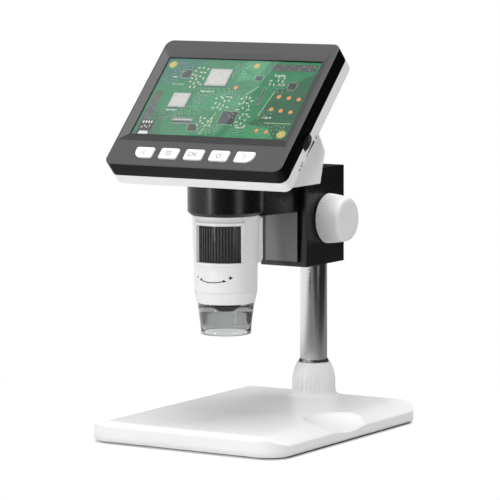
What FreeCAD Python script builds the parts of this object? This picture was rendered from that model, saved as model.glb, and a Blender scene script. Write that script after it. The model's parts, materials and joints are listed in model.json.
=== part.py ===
import FreeCAD, Part
import math
import os
from FreeCAD import Matrix, Placement, Rotation, Vector

# Digital microscope with a screen on a column stand.
# Millimetres. X runs to the right, Y to the back, Z up.
# The origin is on the surface that the feet stand on, under the middle of the base.

# Clearances shared by all pieces
GAP = 0.3            # between bodies that move past each other
SLIP = 0.05          # radial clearance of a shaft in its hole
LOOSE = 0.15         # between fixed pieces that drop into each other

# Base
BASE_WIDTH = 119.2
BASE_DEPTH = 151.4
BASE_CORNER_R = 13.0
BASE_TOP_Z = 11.8
BASE_RIM_Z = 1.3
BASE_BAND_Z = 6.8
BASE_FRONT_EDGE_Z = 9.6
BASE_STAGE_HALF = 45.0
BASE_BEVEL_DEPTH = 4.0
BASE_WALL = 2.2
SCOOP_LENGTH = 23.2
SCOOP_REACH = 27.4
SCOOP_HEIGHT = 9.5
SCOOP_FLOOR_Z = 5.3
SCOOP_Y = -2.0
FOOT_R = 7.0
FOOT_INSET = 14.0
COVER_BOTTOM_Z = 0.6
COVER_TOP_Z = 2.8
COVER_SIDE_INSET = 0.6
COVER_FRONT_INSET = 2.5
COVER_NEST_INSET = 3.2
COVER_SCREW_R = 1.4
COVER_SCREW_HEAD_R = 2.7
COVER_SCREW_HEAD_H = 1.2
COVER_SCREW_DEPTH = 5.2
COVER_SCREW_X = 46.0
COVER_SCREW_YS = (-44.0, 34.0)
COVER_POST_R = 3.4
WEIGHT_HALF_X = 30.0
WEIGHT_FRONT_Y = -66.0
WEIGHT_BACK_Y = 34.0
WEIGHT_THICK = 4.5

# Column and the collar that holds its foot
COLUMN_Y = 60.0
COLUMN_R = 7.4
COLUMN_WALL = 1.2
COLUMN_FOOT_Z = 9.0
COLUMN_TOP_Z = 102.0
COLLAR_R = 12.0
COLLAR_TOP_R = 8.6
COLLAR_TOP_Z = 30.6
COLLAR_SHOULDER_Z = 20.9
COLLAR_FILLET = 4.0
COLLAR_FLOOR_THICK = 2.5
COLLAR_SLOT_COUNT = 9
COLLAR_SLOT_PITCH = 11.75
COLLAR_SLOT_WIDTH = 0.6
COLLAR_SLOT_DEPTH = 0.45
COLLAR_SLOT_LOW_Z = 13.4
COLLAR_SLOT_HIGH_Z = 22.0
SEAL_HEIGHT = 1.5
SEAL_FLARE = 1.1
PLUG_LENGTH = 12.0
BOLT_R = 2.5
BOLT_HEAD_R = 4.4
BOLT_HEAD_H = 2.4
BOLT_LENGTH = 14.0
WASHER_R = 6.2
WASHER_THICK = 1.0

# Head block on the column
HEAD_HALF_X = 14.4
HEAD_FRONT_Y = 28.4
HEAD_BACK_Y = 69.6
HEAD_LOW_Z = 86.5
HEAD_STANDS_OVER = 1.3
HEAD_LIP = 2.5
HEAD_EDGE_R = 2.0
HEAD_CHEEK = 4.6
SOCKET_PLAY = 0.08
CHAMBER_HALF_X = 8.0
CHAMBER_PLAY = 0.9
TOP_COVER_THICK = 2.5
TOP_COVER_HALF_X = 11.0
TOP_COVER_SCREW_X = 7.0
TOP_COVER_SCREW_DEPTH = 9.0
SMALL_SCREW_R = 1.25
SMALL_HEAD_R = 2.3
GRUB_R = 2.0
GRUB_HEIGHTS = (91.0, 98.0)

# Focus drive: knobs, shaft and pinion
DRIVE_Y = 49.6
DRIVE_Z = 111.4
SHAFT_R = 2.5
BUSH_R = 4.0
GEAR_MODULE = 0.7
GEAR_TEETH = 20
GEAR_BACKLASH = 0.14
GEAR_HALF_WIDTH = 3.6
PRESSURE_ANGLE = 20.0
KNOB_R = 13.7
KNOB_END_R = 11.6
KNOB_LENGTH = 13.5
KNOB_RIB_COUNT = 64
KNOB_RIB_ROOT_R = 12.7
KNOB_EDGE_R = 1.2
KNOB_BORE_DEPTH = 10.0
KNOB_DISH_R = 60.0
KNOB_DISH_DEPTH = 0.5
KNOB_STANDOFF = 0.5
KNOB_WASHER_R = 6.0
KNOB_WASHER_THICK = 0.3

# Carriage: plate in the block, arm and ring that holds the lens tube
TUBE_Y = -30.0
PLATE_FRONT_Y = 26.0
PLATE_HALF_X = 10.0
FLANGE_HALF_X = 12.0
FLANGE_THICK = 5.6
CARRIAGE_LOW_Z = 89.4
CARRIAGE_TRAVEL = 20.0
ARM_FRONT_DROP = 1.5
ARM_BACK_DROP = 3.1
RING_R = 20.0
RING_HEIGHT = 17.9
RING_CHAMFER = 1.5
RING_WEB = 3.0
RACK_HALF_X = 3.4
RACK_BODY = 2.6
RACK_SCREW_DEPTH = 7.0
RACK_SCREW_SUNK = 1.3
RACK_SCREW_LOW_IN = 7.6
RACK_SCREW_TOP_IN = 6.7
WEDGE_SCREW_X = 8.5
WEDGE_SCREW_FORWARD = 4.0
WEDGE_SCREW_LENGTH = 8.0
WEDGE_SCREW_HEAD_H = 1.4

# Lens tube
TUBE_TOP_R = 17.6
TUBE_TOP_Z = 119.5
TUBE_WAIST_R = 16.8
TUBE_WAIST_Z = 93.2
TUBE_LOW_R = 16.6
TUBE_LOW_Z = 79.5
TUBE_END_R = 15.3
TUBE_END_Z = 73.3
TUBE_WALL = 1.7
SPINE_HALF_X = 9.0
SPINE_REACH = 22.4
SPINE_LOW_Z = 92.8
SPINE_CHAMFER = 2.0
WINDOW_TURN = 18.0
WINDOW_HALF_ANGLE = 44.0
WINDOW_LOW_Z = 95.4
WINDOW_HIGH_Z = 114.9
WINDOW_FRAME = 1.5
WINDOW_FRAME_PROUD = 0.5
NECK_R = 15.2
NECK_BORE_R = 11.0
NECK_CUP_R = 13.0
NECK_FLANGE_THICK = 3.5
NECK_HEIGHT = 14.9
SENSOR_UP = 6.5
SENSOR_BOARD_THICK = 1.2
SENSOR_CHIP = 8.0
SENSOR_CHIP_THICK = 1.2
SET_SCREW_R = 1.5
SET_SCREW_ANGLES = (55.0, 125.0)
SET_SCREW_UP = 8.5
SET_SCREW_SUNK = 0.4

# Focusing ring and the lens that it drives
FOCUS_R = 15.8
FOCUS_RIB_DEPTH = 0.7
FOCUS_RIB_COUNT = 48
FOCUS_BORE_R = 13.2
FOCUS_TRAVEL = 4.0
FOCUS_TURN = 240.0
CARRIER_LOW_Z = 84.0
CARRIER_WALL = 1.6
CARRIER_WEB_Z = 90.0
CARRIER_WEB = 3.0
BARREL_R = 7.0
BARREL_BORE_R = 5.4
BARREL_TOP_Z = 96.0
NOSE_R = 7.8
NOSE_TIP_R = 3.9
NOSE_TOP_Z = 76.8
NOSE_EDGE_Z = 73.6
NOSE_LOW_Z = 69.6
PINHOLE_R = 2.3
LENS_R = 4.6
LENS_Z = 74.6
LENS_THICK = 2.4

# Ring of lamps and the clear cap under them
LAMP_COUNT = 8
LAMP_SIZE = 3.7
LAMP_THICK = 0.9
LAMP_CIRCLE_R = 10.9
LAMP_TURN = 22.5
LAMP_BOARD_R = 13.4
LAMP_BOARD_Z = 75.4
LAMP_BOARD_THICK = 1.2
CAP_TOP_R = 15.0
CAP_LOW_R = 13.1
CAP_WALL = 1.2
CAP_RIM_Z = 57.8
CAP_LOW_Z = 56.6
CAP_RIM_R = 13.3
CAP_MOUTH_R = 11.6
CAP_SPIGOT_R = 13.6
CAP_SPIGOT = 1.2

# Screen housing, in its own frame: U right, V up the screen, N out of the screen
SCREEN_TILT = 45.0
SCREEN_X = 1.0
SCREEN_Y = -29.2
SCREEN_UP = 42.9
HOUSING_HALF_U = 54.0
HOUSING_LOW_V = -49.8
HOUSING_HIGH_V = 37.9
HOUSING_CORNER_R = 4.5
HOUSING_FACE_N = 2.0
HOUSING_SEAM_N = -7.2
HOUSING_BACK_N = -14.8
HOUSING_WALL = 1.8
FACE_EDGE_R = 0.6
BACK_EDGE_R = 1.6
FACE_RIM_U = 2.2
BEVEL_RUN_U = 4.2
VIEW_HALF_V = 27.0
BEVEL_TOP_V = 30.8
BEVEL_LOW_V = -33.2
BEVEL_FLOOR_N = 0.2
BAND_HIGH_V = -34.2
BAND_THICK = 1.6
GLASS_LAP_U = 2.4
GLASS_HALF_V = 29.3
GLASS_THICK = 0.8
PANEL_THICK = 3.0
PANEL_LAP_U = 0.6
PANEL_HIGH_V = 29.5
PANEL_LOW_V = -31.0
WEDGE_TOP_V = -9.5
WEDGE_SIDE_STEP = 0.8
WEDGE_BACK_Y = -24.0
WEDGE_REAR_Y = -19.2
WEDGE_REAR_UP = 16.5
WEDGE_WALL = 1.8
CABLE_HALF_X = 7.0
CABLE_Y = -41.0

# Buttons under the screen
BUTTON_NAMES = ("button_back", "button_menu", "button_ok", "button_power", "button_next")
BUTTON_ROW_IN = 23.2
BUTTON_SPACE = 4.0
BUTTON_V = -41.5
BUTTON_HEIGHT = 7.2
BUTTON_CORNER_R = 1.3
BUTTON_BIG_R = 4.6
BUTTON_PROUD = 0.9
BUTTON_FLANGE = 1.1
BUTTON_FLANGE_THICK = 0.6
BUTTON_EDGE_R = 0.45
BUTTON_TRAVEL = 0.5
BUTTON_PLAY = 0.2

# Lamp dimmer wheel at the right side of the housing
WHEEL_R = 9.0
WHEEL_PROUD = 1.0
WHEEL_V = -21.0
WHEEL_TOP_N = -6.8
WHEEL_THICK = 3.4
WHEEL_GROOVE_COUNT = 36
WHEEL_GROOVE_DEPTH = 0.45
WHEEL_AXLE_R = 1.5
WHEEL_RECESS_R = 12.0
WHEEL_RECESS_DEPTH = 1.1
POT_R = 5.0

# Boards and battery in the housing
BOARD_WALL_GAP = 3.2
BOARD_LOW_V = -36.0
BOARD_HIGH_V = 29.0
BOARD_REAR_N = -6.2
BOARD_THICK = 1.2
BOARD_POST_R = 2.3
BOARD_POST_TOP_IN = 4.0
BOARD_POST_TOP_V = 24.0
BOARD_POST_LOW_IN = 8.0
BOARD_POST_LOW_V = -33.0
BOARD_SCREW_R = 1.0
BOARD_SCREW_HEAD_R = 1.9
BOARD_SCREW_HEAD_H = 0.8
BOARD_SCREW_LENGTH = 5.0
HOUSING_POST_WALL_GAP = 3.6
HOUSING_POST_TOP_IN = 4.7
HOUSING_POST_LOW_IN = 5.5
HOUSING_POST_R = 2.7
HOUSING_SCREW_R = 1.2
HOUSING_SCREW_HEAD_R = 2.3
HOUSING_SCREW_HEAD_H = 1.2
BATTERY_BOX = (-26.0, 34.0, -8.0, 27.0)
BATTERY_THICK = 4.3
BUTTON_BOARD_IN = 11.0
BUTTON_POST_R = 1.8
BUTTON_POST_IN = 2.0
BUTTON_BOARD_HALF_V = 3.6
BUTTON_BOARD_THICK = 1.0
SWITCH_SIZE = 4.6
SWITCH_THICK = 0.8
SWITCH_TIP_R = 1.2
# Chips: how far in from the board's left edge, how far up, width, height
CHIPS = ((18.0, 2.0, 9.0, 9.0), (14.0, -20.0, 6.0, 8.0), (64.0, -26.0, 10.0, 6.0), (38.0, -31.0, 5.0, 5.0))
CHIP_THICK = 1.1
USB_V = -9.0
USB_WIDTH = 9.0
USB_HEIGHT = 3.2
USB_LENGTH = 7.4
CARD_V = 10.0
CARD_WIDTH = 14.0
CARD_HEIGHT = 2.0
CARD_LENGTH = 14.6
SOCKET_SHELL = 0.35

X_AXIS = Vector(1, 0, 0)
Y_AXIS = Vector(0, 1, 0)
Z_AXIS = Vector(0, 0, 1)


# Shapes that many pieces use

def disc(radius, z0, z1, x=0.0, y=0.0):
    return Part.makeCylinder(radius, z1 - z0, Vector(x, y, z0))


def pipe(outer, inner, z0, z1, x=0.0, y=0.0):
    return disc(outer, z0, z1, x, y).cut(disc(inner, z0 - 1, z1 + 1, x, y))


def rod_x(radius, x0, x1, y, z):
    return Part.makeCylinder(radius, x1 - x0, Vector(x0, y, z), X_AXIS)


def block(x0, x1, y0, y1, z0, z1):
    return Part.makeBox(x1 - x0, y1 - y0, z1 - z0, Vector(x0, y0, z0))


def polygon_face(points):
    return Part.Face(Part.makePolygon([Vector(*p) for p in points] + [Vector(*points[0])]))


def turned(profile, x=0.0, y=0.0):
    face = polygon_face([(r, 0, z) for r, z in profile])
    solid = face.revolve(Vector(0, 0, 0), Z_AXIS, 360)
    solid.translate(Vector(x, y, 0))
    return solid


def arc_mid(p0, p1, centre):
    radius = (p0 - centre).Length
    middle = (p0 - centre) + (p1 - centre)
    middle.normalize()
    return centre + middle * radius


def plate(x0, x1, y0, y1, z0, z1, radii):
    # An upright plate with rounded corners, radii from low x, low y round to low x, high y
    corners = [(x0, y0, 1, 1), (x1, y0, -1, 1), (x1, y1, -1, -1), (x0, y1, 1, -1)]
    edges = []
    ends = []
    for index, (cx, cy, sx, sy) in enumerate(corners):
        r = radii[index]
        along_x = Vector(cx + sx * r, cy, z0)
        along_y = Vector(cx, cy + sy * r, z0)
        centre = Vector(cx + sx * r, cy + sy * r, z0)
        first, last = (along_y, along_x) if index % 2 == 0 else (along_x, along_y)
        ends.append((first, arc_mid(first, last, centre), last))
    for index in range(4):
        first, middle, last = ends[index]
        edges.append(Part.Arc(first, middle, last).toShape())
        edges.append(Part.LineSegment(last, ends[(index + 1) % 4][0]).toShape())
    face = Part.Face(Part.Wire(edges))
    return face.extrude(Vector(0, 0, z1 - z0))


def even_plate(x0, x1, y0, y1, z0, z1, radius):
    return plate(x0, x1, y0, y1, z0, z1, (radius,) * 4)


def joined(shapes):
    result = shapes[0]
    for shape in shapes[1:]:
        result = result.fuse(shape)
    return result.removeSplitter()


def group(shapes):
    return Part.makeCompound(shapes)


def screw(head_r, head_h, shank_r, length, place):
    # Head from 0 up to head_h, shank down from it, with a cross recess in the head
    body = disc(head_r, 0, head_h).fuse(disc(shank_r, -length, 0))
    arm = head_r * 0.62
    slot = shank_r * 0.22
    depth = head_h * 0.5
    cross = block(-arm, arm, -slot, slot, head_h - depth, head_h + 1)
    cross = cross.fuse(block(-slot, slot, -arm, arm, head_h - depth, head_h + 1))
    body = body.cut(cross).removeSplitter()
    body.Placement = place
    return body


def hex_socket_screw(radius, length, place):
    # A headless screw whose open end is at 0, running down
    body = disc(radius, -length, 0)
    socket_r = radius * 0.55
    corners = [(socket_r * math.cos(math.radians(60 * k)), socket_r * math.sin(math.radians(60 * k)), 0)
               for k in range(6)]
    body = body.cut(polygon_face(corners).extrude(Vector(0, 0, -length * 0.4)))
    body.Placement = place
    return body


def notched_disc(outer, root, count, z0, z1, x=0.0, y=0.0):
    # A disc with straight-sided grooves round its rim
    points = []
    step = 2 * math.pi / count
    for index in range(count):
        for share, radius in ((0.0, outer), (0.5, outer), (0.65, root), (0.85, root)):
            angle = (index + share) * step
            points.append((radius * math.cos(angle), radius * math.sin(angle), z0))
    solid = polygon_face(points).extrude(Vector(0, 0, z1 - z0))
    solid.translate(Vector(x, y, 0))
    return solid


# The screen and the buttons stay in line with the lens tube, so they sit off the housing's middle
VIEW_MIDDLE_U = -SCREEN_X
BEVEL_SIDE_U = HOUSING_HALF_U - FACE_RIM_U
VIEW_HALF_U = BEVEL_SIDE_U - BEVEL_RUN_U
VIEW_LEFT_U = VIEW_MIDDLE_U - VIEW_HALF_U
VIEW_RIGHT_U = VIEW_MIDDLE_U + VIEW_HALF_U
BEVEL_LEFT_U = VIEW_MIDDLE_U - BEVEL_SIDE_U
BEVEL_RIGHT_U = VIEW_MIDDLE_U + BEVEL_SIDE_U
GLASS_HALF_U = VIEW_HALF_U + GLASS_LAP_U
PANEL_HALF_U = GLASS_HALF_U + PANEL_LAP_U
BOARD_HALF_U = HOUSING_HALF_U - HOUSING_WALL - BOARD_WALL_GAP
BUTTON_PITCH = (HOUSING_HALF_U - BUTTON_ROW_IN) / 2
BUTTON_WIDTH = BUTTON_PITCH - BUTTON_SPACE
BUTTON_BOARD_HALF_U = HOUSING_HALF_U - BUTTON_BOARD_IN
HOUSING_POST_U = HOUSING_HALF_U - HOUSING_WALL - HOUSING_POST_WALL_GAP
HOUSING_POST_TOP_V = HOUSING_HIGH_V - HOUSING_POST_TOP_IN
HOUSING_POST_LOW_V = HOUSING_LOW_V + HOUSING_POST_LOW_IN
BOARD_POSTS = [(side * (BOARD_HALF_U - BOARD_POST_TOP_IN), BOARD_POST_TOP_V) for side in (-1, 1)]
BOARD_POSTS += [(side * (BOARD_HALF_U - BOARD_POST_LOW_IN), BOARD_POST_LOW_V) for side in (-1, 1)]
HOUSING_POSTS = [(side * HOUSING_POST_U, v) for v in (HOUSING_POST_TOP_V, HOUSING_POST_LOW_V) for side in (-1, 1)]
FAR_U = HOUSING_HALF_U + HOUSING_WALL
FAR_V = HOUSING_HIGH_V - HOUSING_LOW_V
FAR_N = HOUSING_FACE_N - HOUSING_BACK_N

# Heights that follow the lens tube's top, which hangs in the carriage's ring
RING_LOW_Z = TUBE_TOP_Z + GAP
CARRIAGE_TOP_Z = RING_LOW_Z + RING_HEIGHT
ARM_LOW_FRONT_Z = TUBE_TOP_Z - ARM_FRONT_DROP
ARM_LOW_BACK_Z = TUBE_TOP_Z - ARM_BACK_DROP
NECK_TOP_Z = TUBE_TOP_Z + NECK_HEIGHT
SENSOR_Z = TUBE_TOP_Z + SENSOR_UP
SET_SCREW_Z = TUBE_TOP_Z + SET_SCREW_UP
RACK_SCREW_ZS = (CARRIAGE_LOW_Z + RACK_SCREW_LOW_IN, CARRIAGE_TOP_Z - RACK_SCREW_TOP_IN)
HEAD_TOP_Z = CARRIAGE_TOP_Z + HEAD_STANDS_OVER
SCREEN_Z = CARRIAGE_TOP_Z + SCREEN_UP
WEDGE_REAR_Z = CARRIAGE_TOP_Z + WEDGE_REAR_UP

SCREEN_PLACE = Placement(Vector(SCREEN_X, SCREEN_Y, SCREEN_Z), Rotation(X_AXIS, 90 - SCREEN_TILT))


def in_screen_frame(shape):
    shape = shape.copy()
    shape.Placement = SCREEN_PLACE.multiply(shape.Placement)
    return shape


def screen_point(u, v, n):
    return SCREEN_PLACE.multVec(Vector(u, v, n))


# Base

def side_profile(inset):
    # The section across the base: a vertical band, a wide round shoulder and the flat stage
    half = BASE_WIDTH / 2
    run = half - BASE_STAGE_HALF
    drop = BASE_TOP_Z - BASE_BAND_Z
    radius = (run * run + drop * drop) / (2 * drop)
    centre_z = BASE_TOP_Z - radius
    radius -= inset
    half -= inset
    reach = half - BASE_STAGE_HALF
    band_z = centre_z + math.sqrt(radius * radius - reach * reach)
    top_z = BASE_TOP_Z - inset
    half_arc = math.asin(reach / radius) / 2
    mid_x = BASE_STAGE_HALF + radius * math.sin(half_arc)
    mid_z = centre_z + radius * math.cos(half_arc)
    y0 = -BASE_DEPTH
    p = [Vector(-half, y0, 0), Vector(-half, y0, band_z), Vector(-BASE_STAGE_HALF, y0, top_z),
         Vector(BASE_STAGE_HALF, y0, top_z), Vector(half, y0, band_z), Vector(half, y0, 0)]
    edges = [Part.LineSegment(p[0], p[1]).toShape(),
             Part.Arc(p[1], Vector(-mid_x, y0, mid_z), p[2]).toShape(),
             Part.LineSegment(p[2], p[3]).toShape(),
             Part.Arc(p[3], Vector(mid_x, y0, mid_z), p[4]).toShape(),
             Part.LineSegment(p[4], p[5]).toShape(),
             Part.LineSegment(p[5], p[0]).toShape()]
    return Part.Face(Part.Wire(edges)).extrude(Vector(0, 2 * BASE_DEPTH, 0))


def depth_profile(inset):
    # The section along the base: vertical ends with a shallow bevel up to the stage
    half = BASE_DEPTH / 2 - inset
    top_z = BASE_TOP_Z - inset
    edge_z = BASE_FRONT_EDGE_Z - inset
    x0 = -BASE_WIDTH
    points = [(x0, -half, 0), (x0, -half, edge_z), (x0, -half + BASE_BEVEL_DEPTH, top_z),
              (x0, half - BASE_BEVEL_DEPTH, top_z), (x0, half, edge_z), (x0, half, 0)]
    return polygon_face(points).extrude(Vector(2 * BASE_WIDTH, 0, 0))


def base_form(inset, low_z):
    half_x = BASE_WIDTH / 2 - inset
    half_y = BASE_DEPTH / 2 - inset
    form = even_plate(-half_x, half_x, -half_y, half_y, low_z, BASE_TOP_Z, BASE_CORNER_R - inset)
    return form.common(side_profile(inset)).common(depth_profile(inset))


def scoop(grow):
    # The thumb scoop in the right shoulder, a part of an ellipsoid
    ball = Part.makeSphere(1.0)
    stretch = Matrix()
    stretch.scale(SCOOP_REACH + grow, SCOOP_LENGTH + grow, SCOOP_HEIGHT + grow)
    ball = ball.transformGeometry(stretch)
    ball.translate(Vector(BASE_WIDTH / 2, SCOOP_Y, SCOOP_FLOOR_Z + SCOOP_HEIGHT))
    return ball


BOSS_LOW_Z = COLUMN_FOOT_Z - COLLAR_FLOOR_THICK


def collar_form():
    # The bell-shaped collar round the column's foot, with its bore still solid
    y = COLUMN_Y
    foot_r = COLLAR_R + COLLAR_FILLET
    fillet_mid = foot_r - COLLAR_FILLET * math.sin(math.radians(45))
    fillet_mid_z = BASE_TOP_Z + COLLAR_FILLET * (1 - math.sin(math.radians(45)))
    shoulder_mid_r = COLLAR_R - (COLLAR_R - COLLAR_TOP_R) * 0.32
    shoulder_mid_z = COLLAR_SHOULDER_Z + (COLLAR_TOP_Z - COLLAR_SHOULDER_Z) * 0.56
    p = [Vector(0, 0, BOSS_LOW_Z), Vector(COLLAR_R, 0, BOSS_LOW_Z), Vector(foot_r, 0, BASE_TOP_Z - 1.0),
         Vector(foot_r, 0, BASE_TOP_Z), Vector(COLLAR_R, 0, BASE_TOP_Z + COLLAR_FILLET),
         Vector(COLLAR_R, 0, COLLAR_SHOULDER_Z), Vector(COLLAR_TOP_R, 0, COLLAR_TOP_Z),
         Vector(0, 0, COLLAR_TOP_Z)]
    edges = [Part.LineSegment(p[0], p[1]).toShape(),
             Part.LineSegment(p[1], p[2]).toShape(),
             Part.LineSegment(p[2], p[3]).toShape(),
             Part.Arc(p[3], Vector(fillet_mid, 0, fillet_mid_z), p[4]).toShape(),
             Part.LineSegment(p[4], p[5]).toShape(),
             Part.Arc(p[5], Vector(shoulder_mid_r, 0, shoulder_mid_z), p[6]).toShape(),
             Part.LineSegment(p[6], p[7]).toShape(),
             Part.LineSegment(p[7], p[0]).toShape()]
    form = Part.Face(Part.Wire(edges)).revolve(Vector(0, 0, 0), Z_AXIS, 360)
    form.translate(Vector(0, y, 0))
    # The foot's fillet ends flush with the back of the base
    return form.common(block(-BASE_WIDTH, BASE_WIDTH, 0, BASE_DEPTH / 2, 0, COLLAR_TOP_Z))


def collar_slots():
    slots = []
    middle = (COLLAR_SLOT_COUNT - 1) / 2
    for index in range(COLLAR_SLOT_COUNT):
        angle = (index - middle) * COLLAR_SLOT_PITCH
        inner = COLLAR_R - COLLAR_SLOT_DEPTH
        slot = block(-COLLAR_SLOT_WIDTH / 2, COLLAR_SLOT_WIDTH / 2, -COLLAR_R - 1, -inner,
                     COLLAR_SLOT_LOW_Z, COLLAR_SLOT_HIGH_Z)
        slot.rotate(Vector(0, 0, 0), Z_AXIS, angle)
        slot.translate(Vector(0, COLUMN_Y, 0))
        slots.append(slot)
    return group(slots)


def cover_screw_places():
    return [(side * COVER_SCREW_X, y) for side in (-1, 1) for y in COVER_SCREW_YS]


def base_shell():
    cavity = base_form(BASE_WALL, BASE_RIM_Z - 1).cut(scoop(BASE_WALL))
    posts = [disc(COVER_POST_R, COVER_TOP_Z + LOOSE, BASE_TOP_Z - BASE_WALL / 2, x, y)
             for x, y in cover_screw_places()]
    inside = group(posts).common(base_form(BASE_WALL / 2, BASE_RIM_Z))
    shell = base_form(0.0, BASE_RIM_Z).cut(scoop(0.0)).cut(cavity)
    shell = joined([shell, collar_form()] + inside.Solids)
    shell = shell.cut(disc(COLUMN_R + SOCKET_PLAY, COLUMN_FOOT_Z, COLLAR_TOP_Z + 1, 0, COLUMN_Y))
    shell = shell.cut(disc(BOLT_R + LOOSE, BOSS_LOW_Z - 1, COLUMN_FOOT_Z + 1, 0, COLUMN_Y))
    for x, y in cover_screw_places():
        shell = shell.cut(disc(COVER_SCREW_R, COVER_TOP_Z, COVER_TOP_Z + COVER_SCREW_DEPTH - 1.0, x, y))
    return shell.cut(collar_slots()).removeSplitter()


def base_cover():
    half_x = BASE_WIDTH / 2 - COVER_SIDE_INSET
    half_y = BASE_DEPTH / 2 - COVER_FRONT_INSET
    radius = BASE_CORNER_R - COVER_SIDE_INSET
    flange = even_plate(-half_x, half_x, -half_y, half_y, COVER_BOTTOM_Z, BASE_RIM_Z, radius)
    nest_x = BASE_WIDTH / 2 - COVER_NEST_INSET
    nest_y = BASE_DEPTH / 2 - COVER_NEST_INSET
    nest = even_plate(-nest_x, nest_x, -nest_y, nest_y, BASE_RIM_Z, COVER_TOP_Z, BASE_CORNER_R - COVER_NEST_INSET)
    cover = joined([flange, nest])
    for x, y in cover_screw_places():
        cover = cover.cut(disc(COVER_SCREW_R + LOOSE, COVER_BOTTOM_Z - 1, COVER_TOP_Z + 1, x, y))
        cover = cover.cut(disc(COVER_SCREW_HEAD_R + LOOSE, COVER_BOTTOM_Z - 1,
                               COVER_BOTTOM_Z + COVER_SCREW_HEAD_H, x, y))
    return cover


def base_cover_screws():
    down = Rotation(X_AXIS, 180)
    seat_z = COVER_BOTTOM_Z + COVER_SCREW_HEAD_H
    return group([screw(COVER_SCREW_HEAD_R, COVER_SCREW_HEAD_H, COVER_SCREW_R, COVER_SCREW_DEPTH,
                        Placement(Vector(x, y, seat_z), down)) for x, y in cover_screw_places()])


def base_weight():
    low = COVER_TOP_Z
    return even_plate(-WEIGHT_HALF_X, WEIGHT_HALF_X, WEIGHT_FRONT_Y, WEIGHT_BACK_Y, low, low + WEIGHT_THICK, 3.0)


def base_feet():
    feet = []
    for side_x in (-1, 1):
        for side_y in (-1, 1):
            x = side_x * (BASE_WIDTH / 2 - FOOT_INSET)
            y = side_y * (BASE_DEPTH / 2 - FOOT_INSET)
            feet.append(disc(FOOT_R, 0, COVER_BOTTOM_Z, x, y))
    return group(feet)


# Column

def column_tube():
    return pipe(COLUMN_R, COLUMN_R - COLUMN_WALL, COLUMN_FOOT_Z, COLUMN_TOP_Z, 0, COLUMN_Y)


def column_plug():
    return pipe(COLUMN_R - COLUMN_WALL, BOLT_R + SLIP, COLUMN_FOOT_Z, COLUMN_FOOT_Z + PLUG_LENGTH, 0, COLUMN_Y)


def column_washer():
    return pipe(WASHER_R, BOLT_R + LOOSE, BOSS_LOW_Z - WASHER_THICK, BOSS_LOW_Z, 0, COLUMN_Y)


def column_bolt():
    seat_z = BOSS_LOW_Z - WASHER_THICK
    return screw(BOLT_HEAD_R, BOLT_HEAD_H, BOLT_R, BOLT_LENGTH,
                 Placement(Vector(0, COLUMN_Y, seat_z), Rotation(X_AXIS, 180)))


def column_seal():
    inner = COLUMN_R + SLIP
    low = COLLAR_TOP_Z
    profile = [(inner, low), (COLUMN_R + SEAL_FLARE, low), (COLUMN_R + 0.45, low + SEAL_HEIGHT),
               (inner, low + SEAL_HEIGHT)]
    return turned(profile, 0, COLUMN_Y)


# Head block

GROOVE_FRONT_Y = HEAD_FRONT_Y + HEAD_CHEEK
GROOVE_BACK_Y = GROOVE_FRONT_Y + FLANGE_THICK + 2 * GAP
PITCH_R = GEAR_MODULE * GEAR_TEETH / 2
GEAR_TIP_R = PITCH_R + GEAR_MODULE
GEAR_ROOT_R = PITCH_R - 1.25 * GEAR_MODULE
RACK_LINE_Y = DRIVE_Y - PITCH_R
RACK_SLOT_BACK_Y = RACK_LINE_Y + GEAR_MODULE + 2 * GAP
CHAMBER_BACK_Y = DRIVE_Y + GEAR_TIP_R + CHAMBER_PLAY
CHAMBER_LOW_Z = DRIVE_Z - GEAR_TIP_R - 0.5
CHANNEL_LOW_Z = HEAD_LOW_Z + HEAD_LIP
TOP_COVER_FRONT_Y = RACK_SLOT_BACK_Y + GAP
TOP_COVER_SCREW_Y = CHAMBER_BACK_Y + SMALL_HEAD_R + 1.2
TOP_COVER_BACK_Y = TOP_COVER_SCREW_Y + SMALL_HEAD_R + 0.9
COVER_SCREW_HEAD = 1.2


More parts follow.
